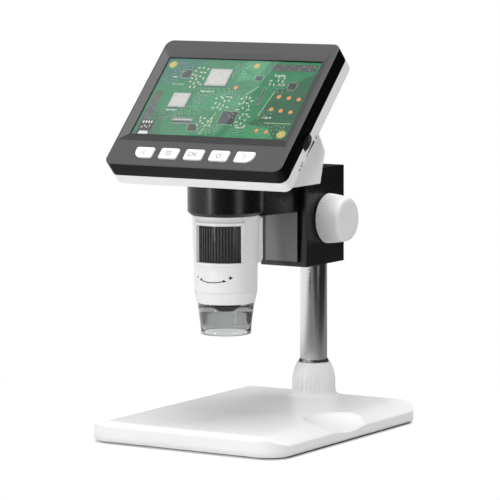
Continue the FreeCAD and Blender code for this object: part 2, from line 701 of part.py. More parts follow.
def head_block():
    body = block(-HEAD_HALF_X, HEAD_HALF_X, HEAD_FRONT_Y, HEAD_BACK_Y, HEAD_LOW_Z, HEAD_TOP_Z)
    upright = [e for e in body.Edges if abs(e.BoundBox.ZLength - (HEAD_TOP_Z - HEAD_LOW_Z)) < 0.01
               and e.BoundBox.YMin > HEAD_BACK_Y - 1]
    body = body.makeFillet(HEAD_EDGE_R, upright)
    high = HEAD_TOP_Z + 1
    mouth = block(-PLATE_HALF_X - GAP, PLATE_HALF_X + GAP, HEAD_FRONT_Y - 1, GROOVE_FRONT_Y + 1,
                  CHANNEL_LOW_Z, high)
    groove = block(-FLANGE_HALF_X - GAP, FLANGE_HALF_X + GAP, GROOVE_FRONT_Y, GROOVE_BACK_Y,
                   CHANNEL_LOW_Z, high)
    rack_slot = block(-RACK_HALF_X - 2 * GAP, RACK_HALF_X + 2 * GAP, GROOVE_BACK_Y - 1, RACK_SLOT_BACK_Y,
                      CHANNEL_LOW_Z, high)
    chamber = block(-CHAMBER_HALF_X, CHAMBER_HALF_X, GROOVE_BACK_Y - 1, CHAMBER_BACK_Y, CHAMBER_LOW_Z, high)
    seat = block(-TOP_COVER_HALF_X - LOOSE, TOP_COVER_HALF_X + LOOSE, TOP_COVER_FRONT_Y - LOOSE,
                 TOP_COVER_BACK_Y + LOOSE, HEAD_TOP_Z - TOP_COVER_THICK, high)
    for hollow in (mouth, groove, rack_slot, chamber, seat):
        body = body.cut(hollow)
    body = body.cut(disc(COLUMN_R + SOCKET_PLAY, HEAD_LOW_Z - 1, COLUMN_TOP_Z + GAP, 0, COLUMN_Y))
    body = body.cut(rod_x(BUSH_R + 0.02, -HEAD_HALF_X - 1, HEAD_HALF_X + 1, DRIVE_Y, DRIVE_Z))
    for z in GRUB_HEIGHTS:
        hole = Part.makeCylinder(GRUB_R, HEAD_BACK_Y - COLUMN_Y + 1, Vector(0, COLUMN_Y, z), Y_AXIS)
        body = body.cut(hole)
    for side in (-1, 1):
        seat_z = HEAD_TOP_Z - TOP_COVER_THICK
        body = body.cut(disc(SMALL_SCREW_R, seat_z - TOP_COVER_SCREW_DEPTH, seat_z + 1,
                             side * TOP_COVER_SCREW_X, TOP_COVER_SCREW_Y))
    return body.removeSplitter()


def head_top_cover():
    low = HEAD_TOP_Z - TOP_COVER_THICK
    cover = block(-TOP_COVER_HALF_X, TOP_COVER_HALF_X, TOP_COVER_FRONT_Y, TOP_COVER_BACK_Y, low, HEAD_TOP_Z)
    for side in (-1, 1):
        x = side * TOP_COVER_SCREW_X
        cover = cover.cut(disc(SMALL_SCREW_R + LOOSE, low - 1, HEAD_TOP_Z + 1, x, TOP_COVER_SCREW_Y))
        cover = cover.cut(disc(SMALL_HEAD_R + LOOSE, HEAD_TOP_Z - COVER_SCREW_HEAD, HEAD_TOP_Z + 1, x,
                               TOP_COVER_SCREW_Y))
    return cover


def head_cover_screws():
    seat_z = HEAD_TOP_Z - COVER_SCREW_HEAD
    length = TOP_COVER_SCREW_DEPTH + TOP_COVER_THICK - COVER_SCREW_HEAD - 0.5
    return group([screw(SMALL_HEAD_R, COVER_SCREW_HEAD, SMALL_SCREW_R, length,
                        Placement(Vector(side * TOP_COVER_SCREW_X, TOP_COVER_SCREW_Y, seat_z), Rotation()))
                  for side in (-1, 1)])


def column_grub_screws():
    length = HEAD_BACK_Y - COLUMN_Y - COLUMN_R - 0.3
    outward = Rotation(Z_AXIS, Y_AXIS)
    return group([hex_socket_screw(GRUB_R, length, Placement(Vector(0, HEAD_BACK_Y - 0.3, z), outward))
                  for z in GRUB_HEIGHTS])


# Focus drive

def shaft_bushes():
    bushes = []
    for side in (-1, 1):
        x0, x1 = sorted((side * CHAMBER_HALF_X, side * HEAD_HALF_X))
        outer = rod_x(BUSH_R, x0, x1, DRIVE_Y, DRIVE_Z)
        bushes.append(outer.cut(rod_x(SHAFT_R + SLIP, x0 - 1, x1 + 1, DRIVE_Y, DRIVE_Z)))
    return group(bushes)


KNOB_INNER_X = HEAD_HALF_X + KNOB_STANDOFF
SHAFT_HALF = KNOB_INNER_X + KNOB_BORE_DEPTH


def drive_shaft():
    return rod_x(SHAFT_R, -SHAFT_HALF, SHAFT_HALF, DRIVE_Y, DRIVE_Z)


def involute_point(base_r, radius, start_angle, sign):
    # A point of the involute at this radius, the flank leaving the base circle at start_angle
    alpha = math.acos(min(1.0, base_r / radius))
    angle = start_angle - sign * (math.tan(alpha) - alpha)
    return Vector(radius * math.cos(angle), radius * math.sin(angle), 0)


def gear_outline():
    base_r = PITCH_R * math.cos(math.radians(PRESSURE_ANGLE))
    alpha = math.radians(PRESSURE_ANGLE)
    half_thick = (math.pi * GEAR_MODULE / 2 - GEAR_BACKLASH / 2) / (2 * PITCH_R)
    half_at_base = half_thick + math.tan(alpha) - alpha
    radii = (base_r, (base_r + GEAR_TIP_R) / 2, GEAR_TIP_R)
    edges = []
    step = 2 * math.pi / GEAR_TEETH
    last_root = None
    first_root = None
    for index in range(GEAR_TEETH):
        centre = (index + 0.5) * step
        low = [involute_point(base_r, r, centre - half_at_base, -1) for r in radii]
        high = [involute_point(base_r, r, centre + half_at_base, 1) for r in radii]
        root_low = Vector(GEAR_ROOT_R * math.cos(centre - half_at_base),
                          GEAR_ROOT_R * math.sin(centre - half_at_base), 0)
        root_high = Vector(GEAR_ROOT_R * math.cos(centre + half_at_base),
                           GEAR_ROOT_R * math.sin(centre + half_at_base), 0)
        if last_root is None:
            first_root = root_low
        else:
            edges.append(Part.LineSegment(last_root, root_low).toShape())
        edges.append(Part.LineSegment(root_low, low[0]).toShape())
        edges.append(Part.Arc(low[0], low[1], low[2]).toShape())
        edges.append(Part.LineSegment(low[2], high[2]).toShape())
        edges.append(Part.Arc(high[2], high[1], high[0]).toShape())
        edges.append(Part.LineSegment(high[0], root_high).toShape())
        last_root = root_high
    edges.append(Part.LineSegment(last_root, first_root).toShape())
    return Part.Face(Part.Wire(edges))


def pinion_gear():
    # Teeth in the middle and a hub on each side, drawn along Z and then laid along X
    hub_r = GEAR_ROOT_R - 0.6
    hub_reach = CHAMBER_HALF_X - GAP
    gear = gear_outline().extrude(Vector(0, 0, 2 * GEAR_HALF_WIDTH))
    gear.translate(Vector(0, 0, -GEAR_HALF_WIDTH))
    gear = gear.fuse(disc(hub_r, -hub_reach, hub_reach))
    gear = gear.cut(disc(SHAFT_R, -CHAMBER_HALF_X, CHAMBER_HALF_X)).removeSplitter()
    # A gap between two teeth faces the rack
    gear.rotate(Vector(0, 0, 0), Vector(1, 1, 1), 120)
    gear.translate(Vector(0, DRIVE_Y, DRIVE_Z))
    return gear


def knob(side):
    # A slightly tapered knob whose ribs run out towards its smooth end
    length = KNOB_LENGTH
    arc = KNOB_EDGE_R
    cone = turned([(0, 0), (KNOB_R, 0), (KNOB_END_R, length), (0, length)])
    rim = [e for e in cone.Edges if abs(e.BoundBox.ZMin - length) < 0.01 and e.BoundBox.ZLength < 0.01
           and e.BoundBox.XLength > KNOB_END_R]
    cone = cone.makeFillet(arc, rim)
    ribs = notched_disc(KNOB_R + 0.1, KNOB_RIB_ROOT_R, KNOB_RIB_COUNT, -1, length + 1)
    body = cone.common(ribs)
    body = body.cut(disc(SHAFT_R, -1, KNOB_BORE_DEPTH))
    # The dished end face
    body = body.cut(Part.makeSphere(KNOB_DISH_R, Vector(0, 0, length + KNOB_DISH_R - KNOB_DISH_DEPTH)))
    turn = Rotation(Z_AXIS, Vector(side, 0, 0))
    body.Placement = Placement(Vector(side * KNOB_INNER_X, DRIVE_Y, DRIVE_Z), turn)
    return body


def friction_washers():
    washers = []
    for side in (-1, 1):
        x1 = side * KNOB_INNER_X
        x0 = x1 - side * KNOB_WASHER_THICK
        low, high = sorted((x0, x1))
        outer = rod_x(KNOB_WASHER_R, low, high, DRIVE_Y, DRIVE_Z)
        washers.append(outer.cut(rod_x(SHAFT_R + SLIP, low - 1, high + 1, DRIVE_Y, DRIVE_Z)))
    return group(washers)


# Carriage

def carriage_arm():
    plate_back = GROOVE_FRONT_Y + GAP
    flange_back = plate_back + FLANGE_THICK
    body = block(-PLATE_HALF_X, PLATE_HALF_X, PLATE_FRONT_Y, plate_back + 0.5, CARRIAGE_LOW_Z, CARRIAGE_TOP_Z)
    flange = block(-FLANGE_HALF_X, FLANGE_HALF_X, plate_back, flange_back, CARRIAGE_LOW_Z, CARRIAGE_TOP_Z)
    side_view = [(-PLATE_HALF_X, TUBE_Y, ARM_LOW_FRONT_Z), (-PLATE_HALF_X, PLATE_FRONT_Y + 1, ARM_LOW_BACK_Z),
                 (-PLATE_HALF_X, PLATE_FRONT_Y + 1, CARRIAGE_TOP_Z), (-PLATE_HALF_X, TUBE_Y, CARRIAGE_TOP_Z)]
    arm = polygon_face(side_view).extrude(Vector(2 * PLATE_HALF_X, 0, 0))
    ring = turned([(0, RING_LOW_Z), (RING_R - RING_CHAMFER, RING_LOW_Z), (RING_R, RING_LOW_Z + RING_CHAMFER),
                   (RING_R, CARRIAGE_TOP_Z), (0, CARRIAGE_TOP_Z)], 0, TUBE_Y)
    below = disc(RING_R, ARM_LOW_FRONT_Z - 5, RING_LOW_Z, 0, TUBE_Y)
    body = joined([body, flange, arm.cut(below), ring])
    body = body.cut(disc(NECK_R + LOOSE, RING_LOW_Z - 3, CARRIAGE_TOP_Z - RING_WEB, 0, TUBE_Y))
    body = body.cut(block(-CABLE_HALF_X, CABLE_HALF_X, CABLE_Y - 1.2, CABLE_Y + 1.2,
                          CARRIAGE_TOP_Z - RING_WEB - 1, CARRIAGE_TOP_Z + 1))
    for x, y in wedge_screw_places():
        body = body.cut(disc(SMALL_SCREW_R + LOOSE, CARRIAGE_TOP_Z - RING_WEB - 1, CARRIAGE_TOP_Z + 1, x, y))
    for angle in SET_SCREW_ANGLES:
        body = body.cut(set_screw_hole(angle))
    for z in RACK_SCREW_ZS:
        hole = Part.makeCylinder(SMALL_SCREW_R, RACK_SCREW_DEPTH, Vector(0, flange_back, z), Vector(0, -1, 0))
        body = body.cut(hole)
    return body.removeSplitter()


def set_screw_hole(angle):
    # Angles are counted from the right, towards the back
    way = Vector(math.cos(math.radians(angle)), math.sin(math.radians(angle)), 0)
    return Part.makeCylinder(SET_SCREW_R, RING_R, Vector(0, TUBE_Y, SET_SCREW_Z), way)


def tube_set_screws():
    screws = []
    for angle in SET_SCREW_ANGLES:
        way = Vector(math.cos(math.radians(angle)), math.sin(math.radians(angle)), 0)
        outer = RING_R - SET_SCREW_SUNK
        start = Vector(0, TUBE_Y, SET_SCREW_Z) + way * outer
        screws.append(hex_socket_screw(SET_SCREW_R, outer - NECK_R, Placement(start, Rotation(Z_AXIS, way))))
    return group(screws)


def wedge_screw_places():
    return [(side * WEDGE_SCREW_X, TUBE_Y - WEDGE_SCREW_FORWARD) for side in (-1, 1)]


def wedge_screws():
    seat_z = CARRIAGE_TOP_Z - RING_WEB
    return group([screw(SMALL_HEAD_R, WEDGE_SCREW_HEAD_H, SMALL_SCREW_R, WEDGE_SCREW_LENGTH,
                        Placement(Vector(x, y, seat_z), Rotation(X_AXIS, 180))) for x, y in wedge_screw_places()])


def rack():
    # Straight teeth on the back of the carriage, in mesh with the pinion at rest
    base_y = GROOVE_FRONT_Y + GAP + FLANGE_THICK
    tip_y = RACK_LINE_Y + GEAR_MODULE
    root_y = RACK_LINE_Y - 1.25 * GEAR_MODULE
    pitch = math.pi * GEAR_MODULE
    slope = math.tan(math.radians(PRESSURE_ANGLE))
    half_pitch_line = (pitch / 2 - GEAR_BACKLASH / 2) / 2
    half_tip = half_pitch_line - slope * GEAR_MODULE
    half_root = half_pitch_line + slope * 1.25 * GEAR_MODULE
    low = CARRIAGE_LOW_Z + 0.4
    high = CARRIAGE_TOP_Z - 0.4
    first = math.ceil((low + half_root - DRIVE_Z) / pitch)
    last = math.floor((min(high, DRIVE_Z + GEAR_TIP_R + 3) - half_root - DRIVE_Z) / pitch)
    points = [(-RACK_HALF_X, base_y, low), (-RACK_HALF_X, root_y, low)]
    for index in range(first, last + 1):
        z = DRIVE_Z + index * pitch
        points += [(-RACK_HALF_X, root_y, z - half_root), (-RACK_HALF_X, tip_y, z - half_tip),
                   (-RACK_HALF_X, tip_y, z + half_tip), (-RACK_HALF_X, root_y, z + half_root)]
    points += [(-RACK_HALF_X, root_y, high), (-RACK_HALF_X, base_y, high)]
    body = polygon_face(points).extrude(Vector(2 * RACK_HALF_X, 0, 0))
    through = tip_y - base_y + 2
    for z in RACK_SCREW_ZS:
        hole = Part.makeCylinder(SMALL_SCREW_R + LOOSE, through, Vector(0, base_y - 1, z), Y_AXIS)
        counter = Part.makeCylinder(SMALL_HEAD_R + LOOSE, through, Vector(0, root_y - RACK_SCREW_SUNK, z), Y_AXIS)
        body = body.cut(hole).cut(counter)
    return body


def rack_screws():
    root_y = RACK_LINE_Y - 1.25 * GEAR_MODULE
    seat_y = root_y - RACK_SCREW_SUNK
    base_y = GROOVE_FRONT_Y + GAP + FLANGE_THICK
    length = seat_y - base_y + RACK_SCREW_DEPTH - 0.5
    return group([screw(SMALL_HEAD_R, 1.2, SMALL_SCREW_R, length,
                        Placement(Vector(0, seat_y, z), Rotation(Z_AXIS, Y_AXIS))) for z in RACK_SCREW_ZS])


# Lens tube

def tube_radius(z):
    if z >= TUBE_WAIST_Z:
        share = (z - TUBE_WAIST_Z) / (TUBE_TOP_Z - TUBE_WAIST_Z)
        return TUBE_WAIST_R + share * (TUBE_TOP_R - TUBE_WAIST_R)
    share = (z - TUBE_LOW_Z) / (TUBE_WAIST_Z - TUBE_LOW_Z)
    return TUBE_LOW_R + share * (TUBE_WAIST_R - TUBE_LOW_R)


FOCUS_LOW_Z = WINDOW_LOW_Z - 1.3
FOCUS_HIGH_Z = TUBE_TOP_Z - NECK_FLANGE_THICK - GAP
TUBE_BORE_R = TUBE_LOW_R - TUBE_WALL - 0.6


def pie(radius, half_angle, turn, z0, z1):
    # A sector of a disc, its middle turned from the front towards the right
    solid = Part.makeCylinder(radius, z1 - z0, Vector(0, 0, z0), Z_AXIS, 2 * half_angle)
    solid.rotate(Vector(0, 0, 0), Z_AXIS, -90 + turn - half_angle)
    solid.translate(Vector(0, TUBE_Y, 0))
    return solid


def lens_tube():
    outer = turned([(0, TUBE_LOW_Z), (TUBE_LOW_R, TUBE_LOW_Z), (TUBE_WAIST_R, TUBE_WAIST_Z), (TUBE_TOP_R, TUBE_TOP_Z),
                    (0, TUBE_TOP_Z)], 0, TUBE_Y)
    frame_r = tube_radius(WINDOW_HIGH_Z) + WINDOW_FRAME_PROUD
    frame_turn = math.degrees(WINDOW_FRAME / frame_r)
    frame = pie(frame_r, WINDOW_HALF_ANGLE + frame_turn, WINDOW_TURN,
                WINDOW_LOW_Z - WINDOW_FRAME, WINDOW_HIGH_Z + WINDOW_FRAME)
    back_y = TUBE_Y + SPINE_REACH
    side_view = [(-SPINE_HALF_X, TUBE_Y, SPINE_LOW_Z), (-SPINE_HALF_X, back_y - SPINE_CHAMFER, SPINE_LOW_Z),
                 (-SPINE_HALF_X, back_y, SPINE_LOW_Z + SPINE_CHAMFER),
                 (-SPINE_HALF_X, back_y, ARM_LOW_BACK_Z), (-SPINE_HALF_X, TUBE_Y, ARM_LOW_BACK_Z)]
    spine = polygon_face(side_view).extrude(Vector(2 * SPINE_HALF_X, 0, 0))
    body = joined([outer, frame, spine])
    body = body.cut(disc(FOCUS_R + GAP, FOCUS_LOW_Z - GAP, TUBE_TOP_Z + 1, 0, TUBE_Y))
    body = body.cut(disc(TUBE_BORE_R, TUBE_LOW_Z - 1, TUBE_TOP_Z, 0, TUBE_Y))
    body = body.cut(pie(RING_R + 5, WINDOW_HALF_ANGLE, WINDOW_TURN, WINDOW_LOW_Z, WINDOW_HIGH_Z))
    return body.removeSplitter()


def tube_neck():
    flange_low = TUBE_TOP_Z - NECK_FLANGE_THICK
    body = joined([disc(FOCUS_R + GAP - LOOSE, flange_low, TUBE_TOP_Z, 0, TUBE_Y),
                   disc(NECK_R, TUBE_TOP_Z, NECK_TOP_Z, 0, TUBE_Y)])
    body = body.cut(disc(NECK_BORE_R, flange_low - 1, NECK_TOP_Z + 1, 0, TUBE_Y))
    return body.cut(disc(NECK_CUP_R, SENSOR_Z, NECK_TOP_Z + 1, 0, TUBE_Y))


def tube_end_ring():
    inner = LAMP_BOARD_R + LOOSE
    ledge_z = LAMP_BOARD_Z + LAMP_BOARD_THICK
    spigot_r = CAP_SPIGOT_R + LOOSE
    profile = [(spigot_r, TUBE_END_Z), (TUBE_END_R, TUBE_END_Z), (TUBE_LOW_R, TUBE_LOW_Z),
               (TUBE_BORE_R - 1.2, TUBE_LOW_Z), (TUBE_BORE_R - 1.2, ledge_z), (inner, ledge_z), (inner, LAMP_BOARD_Z - 0.4),
               (spigot_r, LAMP_BOARD_Z - 0.4)]
    return turned(profile, 0, TUBE_Y)


# Focusing ring and lens

def focus_ring():
    ring = notched_disc(FOCUS_R, FOCUS_R - FOCUS_RIB_DEPTH, FOCUS_RIB_COUNT, FOCUS_LOW_Z, FOCUS_HIGH_Z, 0, TUBE_Y)
    return ring.cut(disc(FOCUS_BORE_R, FOCUS_LOW_Z - 1, FOCUS_HIGH_Z + 1, 0, TUBE_Y))


CARRIER_TOP_Z = FOCUS_HIGH_Z - FOCUS_TRAVEL - GAP


def lens_carrier():
    outer = FOCUS_BORE_R - GAP
    inner = outer - CARRIER_WALL
    body = pipe(outer, inner, CARRIER_LOW_Z, CARRIER_TOP_Z, 0, TUBE_Y)
    web = pipe(inner + 0.5, BARREL_R, CARRIER_WEB_Z, CARRIER_WEB_Z + CARRIER_WEB, 0, TUBE_Y)
    return joined([body, web])


def lens_barrel():
    profile = [(PINHOLE_R, NOSE_LOW_Z), (NOSE_TIP_R, NOSE_LOW_Z), (NOSE_R, NOSE_EDGE_Z), (NOSE_R, NOSE_TOP_Z),
               (BARREL_R, NOSE_TOP_Z), (BARREL_R, BARREL_TOP_Z), (BARREL_BORE_R, BARREL_TOP_Z),
               (BARREL_BORE_R, LENS_Z + LENS_THICK), (LENS_R, LENS_Z + LENS_THICK), (LENS_R, LENS_Z),
               (PINHOLE_R, LENS_Z)]
    return turned(profile, 0, TUBE_Y)


def objective_lens():
    # A thick lens, rounded on both faces
    half = LENS_THICK / 2
    middle = LENS_Z + half
    reach = LENS_R * 3
    low = Part.makeSphere(reach, Vector(0, TUBE_Y, middle - half + reach))
    high = Part.makeSphere(reach, Vector(0, TUBE_Y, middle + half - reach))
    return disc(LENS_R, LENS_Z - 1, LENS_Z + LENS_THICK + 1, 0, TUBE_Y).common(low).common(high)


# Lamps and cap

def led_board():
    return pipe(LAMP_BOARD_R, NOSE_R + 0.4, LAMP_BOARD_Z, LAMP_BOARD_Z + LAMP_BOARD_THICK, 0, TUBE_Y)


def leds():
    lamps = []
    half = LAMP_SIZE / 2
    for index in range(LAMP_COUNT):
        lamp = block(LAMP_CIRCLE_R - half, LAMP_CIRCLE_R + half, -half, half, LAMP_BOARD_Z - LAMP_THICK, LAMP_BOARD_Z)
        lamp.rotate(Vector(0, 0, 0), Z_AXIS, LAMP_TURN + index * 360.0 / LAMP_COUNT)
        lamp.translate(Vector(0, TUBE_Y, 0))
        lamps.append(lamp)
    return group(lamps)


def clear_cap():
    inner_top = CAP_TOP_R - CAP_WALL
    inner_low = CAP_LOW_R - CAP_WALL
    spigot_top = TUBE_END_Z + CAP_SPIGOT
    profile = [(CAP_MOUTH_R, CAP_LOW_Z), (CAP_RIM_R, CAP_LOW_Z), (CAP_RIM_R, CAP_RIM_Z), (CAP_LOW_R, CAP_RIM_Z),
               (CAP_TOP_R, TUBE_END_Z), (CAP_SPIGOT_R, TUBE_END_Z), (CAP_SPIGOT_R, spigot_top),
               (CAP_SPIGOT_R - 0.8, spigot_top), (inner_top - 1.0, TUBE_END_Z - 1.5), (inner_low, CAP_RIM_Z + 0.4),
               (CAP_MOUTH_R, CAP_RIM_Z + 0.4)]
    return turned(profile, 0, TUBE_Y)


# Camera chip and its cable

def sensor_board():
    return disc(NECK_CUP_R - LOOSE, SENSOR_Z, SENSOR_Z + SENSOR_BOARD_THICK, 0, TUBE_Y)


def image_sensor():
    half = SENSOR_CHIP / 2
    return block(-half, half, TUBE_Y - half, TUBE_Y + half, SENSOR_Z - SENSOR_CHIP_THICK, SENSOR_Z)


def sensor_cable():
    strip = block(-CABLE_HALF_X + 1, CABLE_HALF_X - 1, CABLE_Y - 0.15, CABLE_Y + 0.15,
                  SENSOR_Z + SENSOR_BOARD_THICK, SCREEN_Z)
    above = in_screen_frame(block(-FAR_U, FAR_U, -FAR_V, FAR_V, BOARD_REAR_N, FAR_N))
    return strip.cut(above)


# Screen housing

HOUSING_MID_V = (HOUSING_LOW_V + HOUSING_HIGH_V) / 2


def housing_plate(inset, n0, n1):
    radius = max(HOUSING_CORNER_R - inset, 1.0)
    return even_plate(-HOUSING_HALF_U + inset, HOUSING_HALF_U - inset, HOUSING_LOW_V + inset,
                      HOUSING_HIGH_V - inset, n0, n1, radius)


def view_bevel():
    # The sloping border round the screen, four flat slopes meeting at the corners
    low = Part.makePolygon([Vector(u, v, BEVEL_FLOOR_N) for u, v in
                            ((VIEW_LEFT_U, -VIEW_HALF_V), (VIEW_RIGHT_U, -VIEW_HALF_V),
                             (VIEW_RIGHT_U, VIEW_HALF_V), (VIEW_LEFT_U, VIEW_HALF_V),
                             (VIEW_LEFT_U, -VIEW_HALF_V))])
    high = Part.makePolygon([Vector(u, v, HOUSING_FACE_N) for u, v in
                             ((BEVEL_LEFT_U, BEVEL_LOW_V), (BEVEL_RIGHT_U, BEVEL_LOW_V),
                              (BEVEL_RIGHT_U, BEVEL_TOP_V), (BEVEL_LEFT_U, BEVEL_TOP_V),
                              (BEVEL_LEFT_U, BEVEL_LOW_V))])
    return Part.makeLoft([low, high], True, True)


def button_radii(index):
    radii = [BUTTON_CORNER_R] * 4
    if index == 0:
        radii[0] = BUTTON_BIG_R
    if index == len(BUTTON_NAMES) - 1:
        radii[1] = BUTTON_BIG_R
    return radii


def button_middle(index):
    return VIEW_MIDDLE_U + (index - (len(BUTTON_NAMES) - 1) / 2) * BUTTON_PITCH


def button_plate(index, grow, n0, n1):
    middle = button_middle(index)
    half_u = BUTTON_WIDTH / 2 + grow
    half_v = BUTTON_HEIGHT / 2 + grow
    radii = [max(r + grow, 0.4) for r in button_radii(index)]
    return plate(middle - half_u, middle + half_u, BUTTON_V - half_v, BUTTON_V + half_v, n0, n1, radii)


WHEEL_U = HOUSING_HALF_U + WHEEL_PROUD - WHEEL_R
WHEEL_LOW_N = WHEEL_TOP_N - WHEEL_THICK
BAND_FLOOR_N = HOUSING_FACE_N - BAND_THICK
FLANGE_TOP_N = BAND_FLOOR_N - GAP
FLANGE_LOW_N = FLANGE_TOP_N - BUTTON_FLANGE_THICK
SWITCH_TIP_N = FLANGE_LOW_N - BUTTON_TRAVEL - 0.05
SWITCH_TOP_N = SWITCH_TIP_N - 0.4
BUTTON_BOARD_TOP_N = SWITCH_TOP_N - SWITCH_THICK
BACK_FLOOR_N = HOUSING_BACK_N + HOUSING_WALL


def wheel_slot():
    return disc(WHEEL_R + GAP, WHEEL_LOW_N - GAP, WHEEL_TOP_N + GAP, WHEEL_U, WHEEL_V)


def wheel_recess():
    centre_u = HOUSING_HALF_U - WHEEL_RECESS_DEPTH + WHEEL_RECESS_R
    return disc(WHEEL_RECESS_R, HOUSING_SEAM_N - 1, HOUSING_SEAM_N + 4.2, centre_u, WHEEL_V)


def side_openings():
    # The mouths of the two sockets, through the left walls of both shells
    u0 = -HOUSING_HALF_U - 1
    u1 = -HOUSING_HALF_U + HOUSING_WALL + 1
    openings = []
    for v, width, height in ((USB_V, USB_WIDTH, USB_HEIGHT), (CARD_V, CARD_WIDTH, CARD_HEIGHT)):
        half = width / 2 + LOOSE
        openings.append(block(u0, u1, v - half, v + half, BOARD_REAR_N - height - LOOSE, BOARD_REAR_N + LOOSE))
    return openings


def front_edges(solid, n):
    return [e for e in solid.Edges if e.BoundBox.ZMin > n - 0.01 and e.BoundBox.ZMax < n + 0.01]


def front_bezel():
    body = housing_plate(0, HOUSING_SEAM_N, HOUSING_FACE_N)
    body = body.makeFillet(FACE_EDGE_R, front_edges(body, HOUSING_FACE_N))
    screen_hollow = housing_plate(HOUSING_WALL, HOUSING_SEAM_N - 1, 0.0)
    screen_hollow = screen_hollow.cut(block(-FAR_U, FAR_U, -FAR_V, BAND_HIGH_V, -FAR_N, FAR_N))
    band_hollow = housing_plate(HOUSING_WALL, HOUSING_SEAM_N - 1, BAND_FLOOR_N)
    band_hollow = band_hollow.cut(block(-FAR_U, FAR_U, BAND_HIGH_V, FAR_V, -FAR_N, FAR_N))
    body = body.cut(screen_hollow).cut(band_hollow).cut(view_bevel())
    body = body.cut(block(VIEW_LEFT_U, VIEW_RIGHT_U, -VIEW_HALF_V, VIEW_HALF_V, -1, 1))
    for index in range(len(BUTTON_NAMES)):
        body = body.cut(button_plate(index, BUTTON_PLAY, -2, HOUSING_FACE_N + 1))
    posts = [disc(HOUSING_POST_R, HOUSING_SEAM_N + LOOSE, 0.5, u, v) for u, v in HOUSING_POSTS]
    for side in (-1, 1):
        posts.append(disc(BUTTON_POST_R, BUTTON_BOARD_TOP_N, BAND_FLOOR_N + 0.5,
                          VIEW_MIDDLE_U + side * (BUTTON_BOARD_HALF_U - BUTTON_POST_IN), BUTTON_V))
    body = joined([body] + [post.common(housing_plate(0.5, -FAR_N, 1)) for post in posts])
    for u, v in HOUSING_POSTS:
        body = body.cut(disc(HOUSING_SCREW_R, HOUSING_SEAM_N - 1, -1.2, u, v))
    for opening in [wheel_slot(), wheel_recess()] + side_openings():
        body = body.cut(opening)
    return in_screen_frame(body.removeSplitter())


def wedge_form(inset):
    # The wedge under the back of the housing that stands on the lens tube's ring
    slope = math.tan(math.radians(SCREEN_TILT))
    low_z = CARRIAGE_TOP_Z + inset

    def back_plane_y(z):
        # Where the housing's back plane is at this height
        along = (z - SCREEN_Z - HOUSING_BACK_N * math.sin(math.radians(SCREEN_TILT))) * slope
        return SCREEN_Y + along - HOUSING_BACK_N * math.cos(math.radians(SCREEN_TILT))

    start = screen_point(0, WEDGE_TOP_V - inset, HOUSING_BACK_N)
    lean = (WEDGE_REAR_Y - WEDGE_BACK_Y) / (WEDGE_REAR_Z - CARRIAGE_TOP_Z)
    rear_y = WEDGE_BACK_Y + lean * inset - inset
    bury = 1.2
    points = [(back_plane_y(low_z) - bury, low_z), (rear_y, low_z), (WEDGE_REAR_Y - inset, WEDGE_REAR_Z),
              (start.y, start.z), (start.y - bury, start.z)]
    half = HOUSING_HALF_U - WEDGE_SIDE_STEP - inset
    return polygon_face([(SCREEN_X - half, y, z) for y, z in points]).extrude(Vector(2 * half, 0, 0))


def rear_shell():
    plate_solid = housing_plate(0, HOUSING_BACK_N, HOUSING_SEAM_N)
    plate_solid = plate_solid.makeFillet(BACK_EDGE_R, front_edges(plate_solid, HOUSING_BACK_N))
    outer = joined([in_screen_frame(plate_solid), wedge_form(0)])
    hollow = in_screen_frame(housing_plate(HOUSING_WALL, BACK_FLOOR_N, HOUSING_SEAM_N + 1))
    back_wall = in_screen_frame(housing_plate(0, HOUSING_BACK_N, BACK_FLOOR_N))
    wedge_hollow = wedge_form(WEDGE_WALL).cut(back_wall).cut(hollow)
    body = outer.cut(hollow).cut(wedge_hollow)
    posts = [disc(BOARD_POST_R, BACK_FLOOR_N - 0.5, BOARD_REAR_N, u, v) for u, v in BOARD_POSTS]
    posts += [disc(HOUSING_POST_R, BACK_FLOOR_N - 0.5, HOUSING_SEAM_N, u, v) for u, v in HOUSING_POSTS]
    posts = [in_screen_frame(post.common(housing_plate(0.5, -FAR_N, 1))) for post in posts]
    bosses = [disc(3.0, CARRIAGE_TOP_Z + 0.5, CARRIAGE_TOP_Z + 6.5, x, y) for x, y in wedge_screw_places()]
    body = joined([body] + posts + bosses)
    cuts = []
    for u, v in BOARD_POSTS:
        cuts.append(in_screen_frame(disc(BOARD_SCREW_R, BOARD_REAR_N - 4.5, BOARD_REAR_N + 1, u, v)))
    for u, v in HOUSING_POSTS:
        cuts.append(in_screen_frame(disc(HOUSING_SCREW_R + LOOSE, HOUSING_BACK_N - 1, HOUSING_SEAM_N + 1, u, v)))
        cuts.append(in_screen_frame(disc(HOUSING_SCREW_HEAD_R + LOOSE, HOUSING_BACK_N - 6,
                                         HOUSING_BACK_N + HOUSING_SCREW_HEAD_H, u, v)))
    for x, y in wedge_screw_places():
        cuts.append(disc(SMALL_SCREW_R, CARRIAGE_TOP_Z - 1, CARRIAGE_TOP_Z + 5.5, x, y))
    cuts.append(in_screen_frame(wheel_slot()))
    cuts.append(in_screen_frame(wheel_recess_rear()))
    cuts.append(block(-CABLE_HALF_X, CABLE_HALF_X, CABLE_Y - 1.2, CABLE_Y + 1.2, CARRIAGE_TOP_Z - 1,
                      SCREEN_Z).cut(in_screen_frame(block(-FAR_U, FAR_U, -FAR_V, FAR_V, BOARD_REAR_N, FAR_N))))
    cuts += [in_screen_frame(opening) for opening in side_openings()]
    for cut in cuts:
        body = body.cut(cut)
    return body.removeSplitter()


def wheel_recess_rear():
    centre_u = HOUSING_HALF_U - WHEEL_RECESS_DEPTH + WHEEL_RECESS_R
    return disc(WHEEL_RECESS_R, WHEEL_LOW_N - GAP, HOUSING_SEAM_N + 1, centre_u, WHEEL_V)


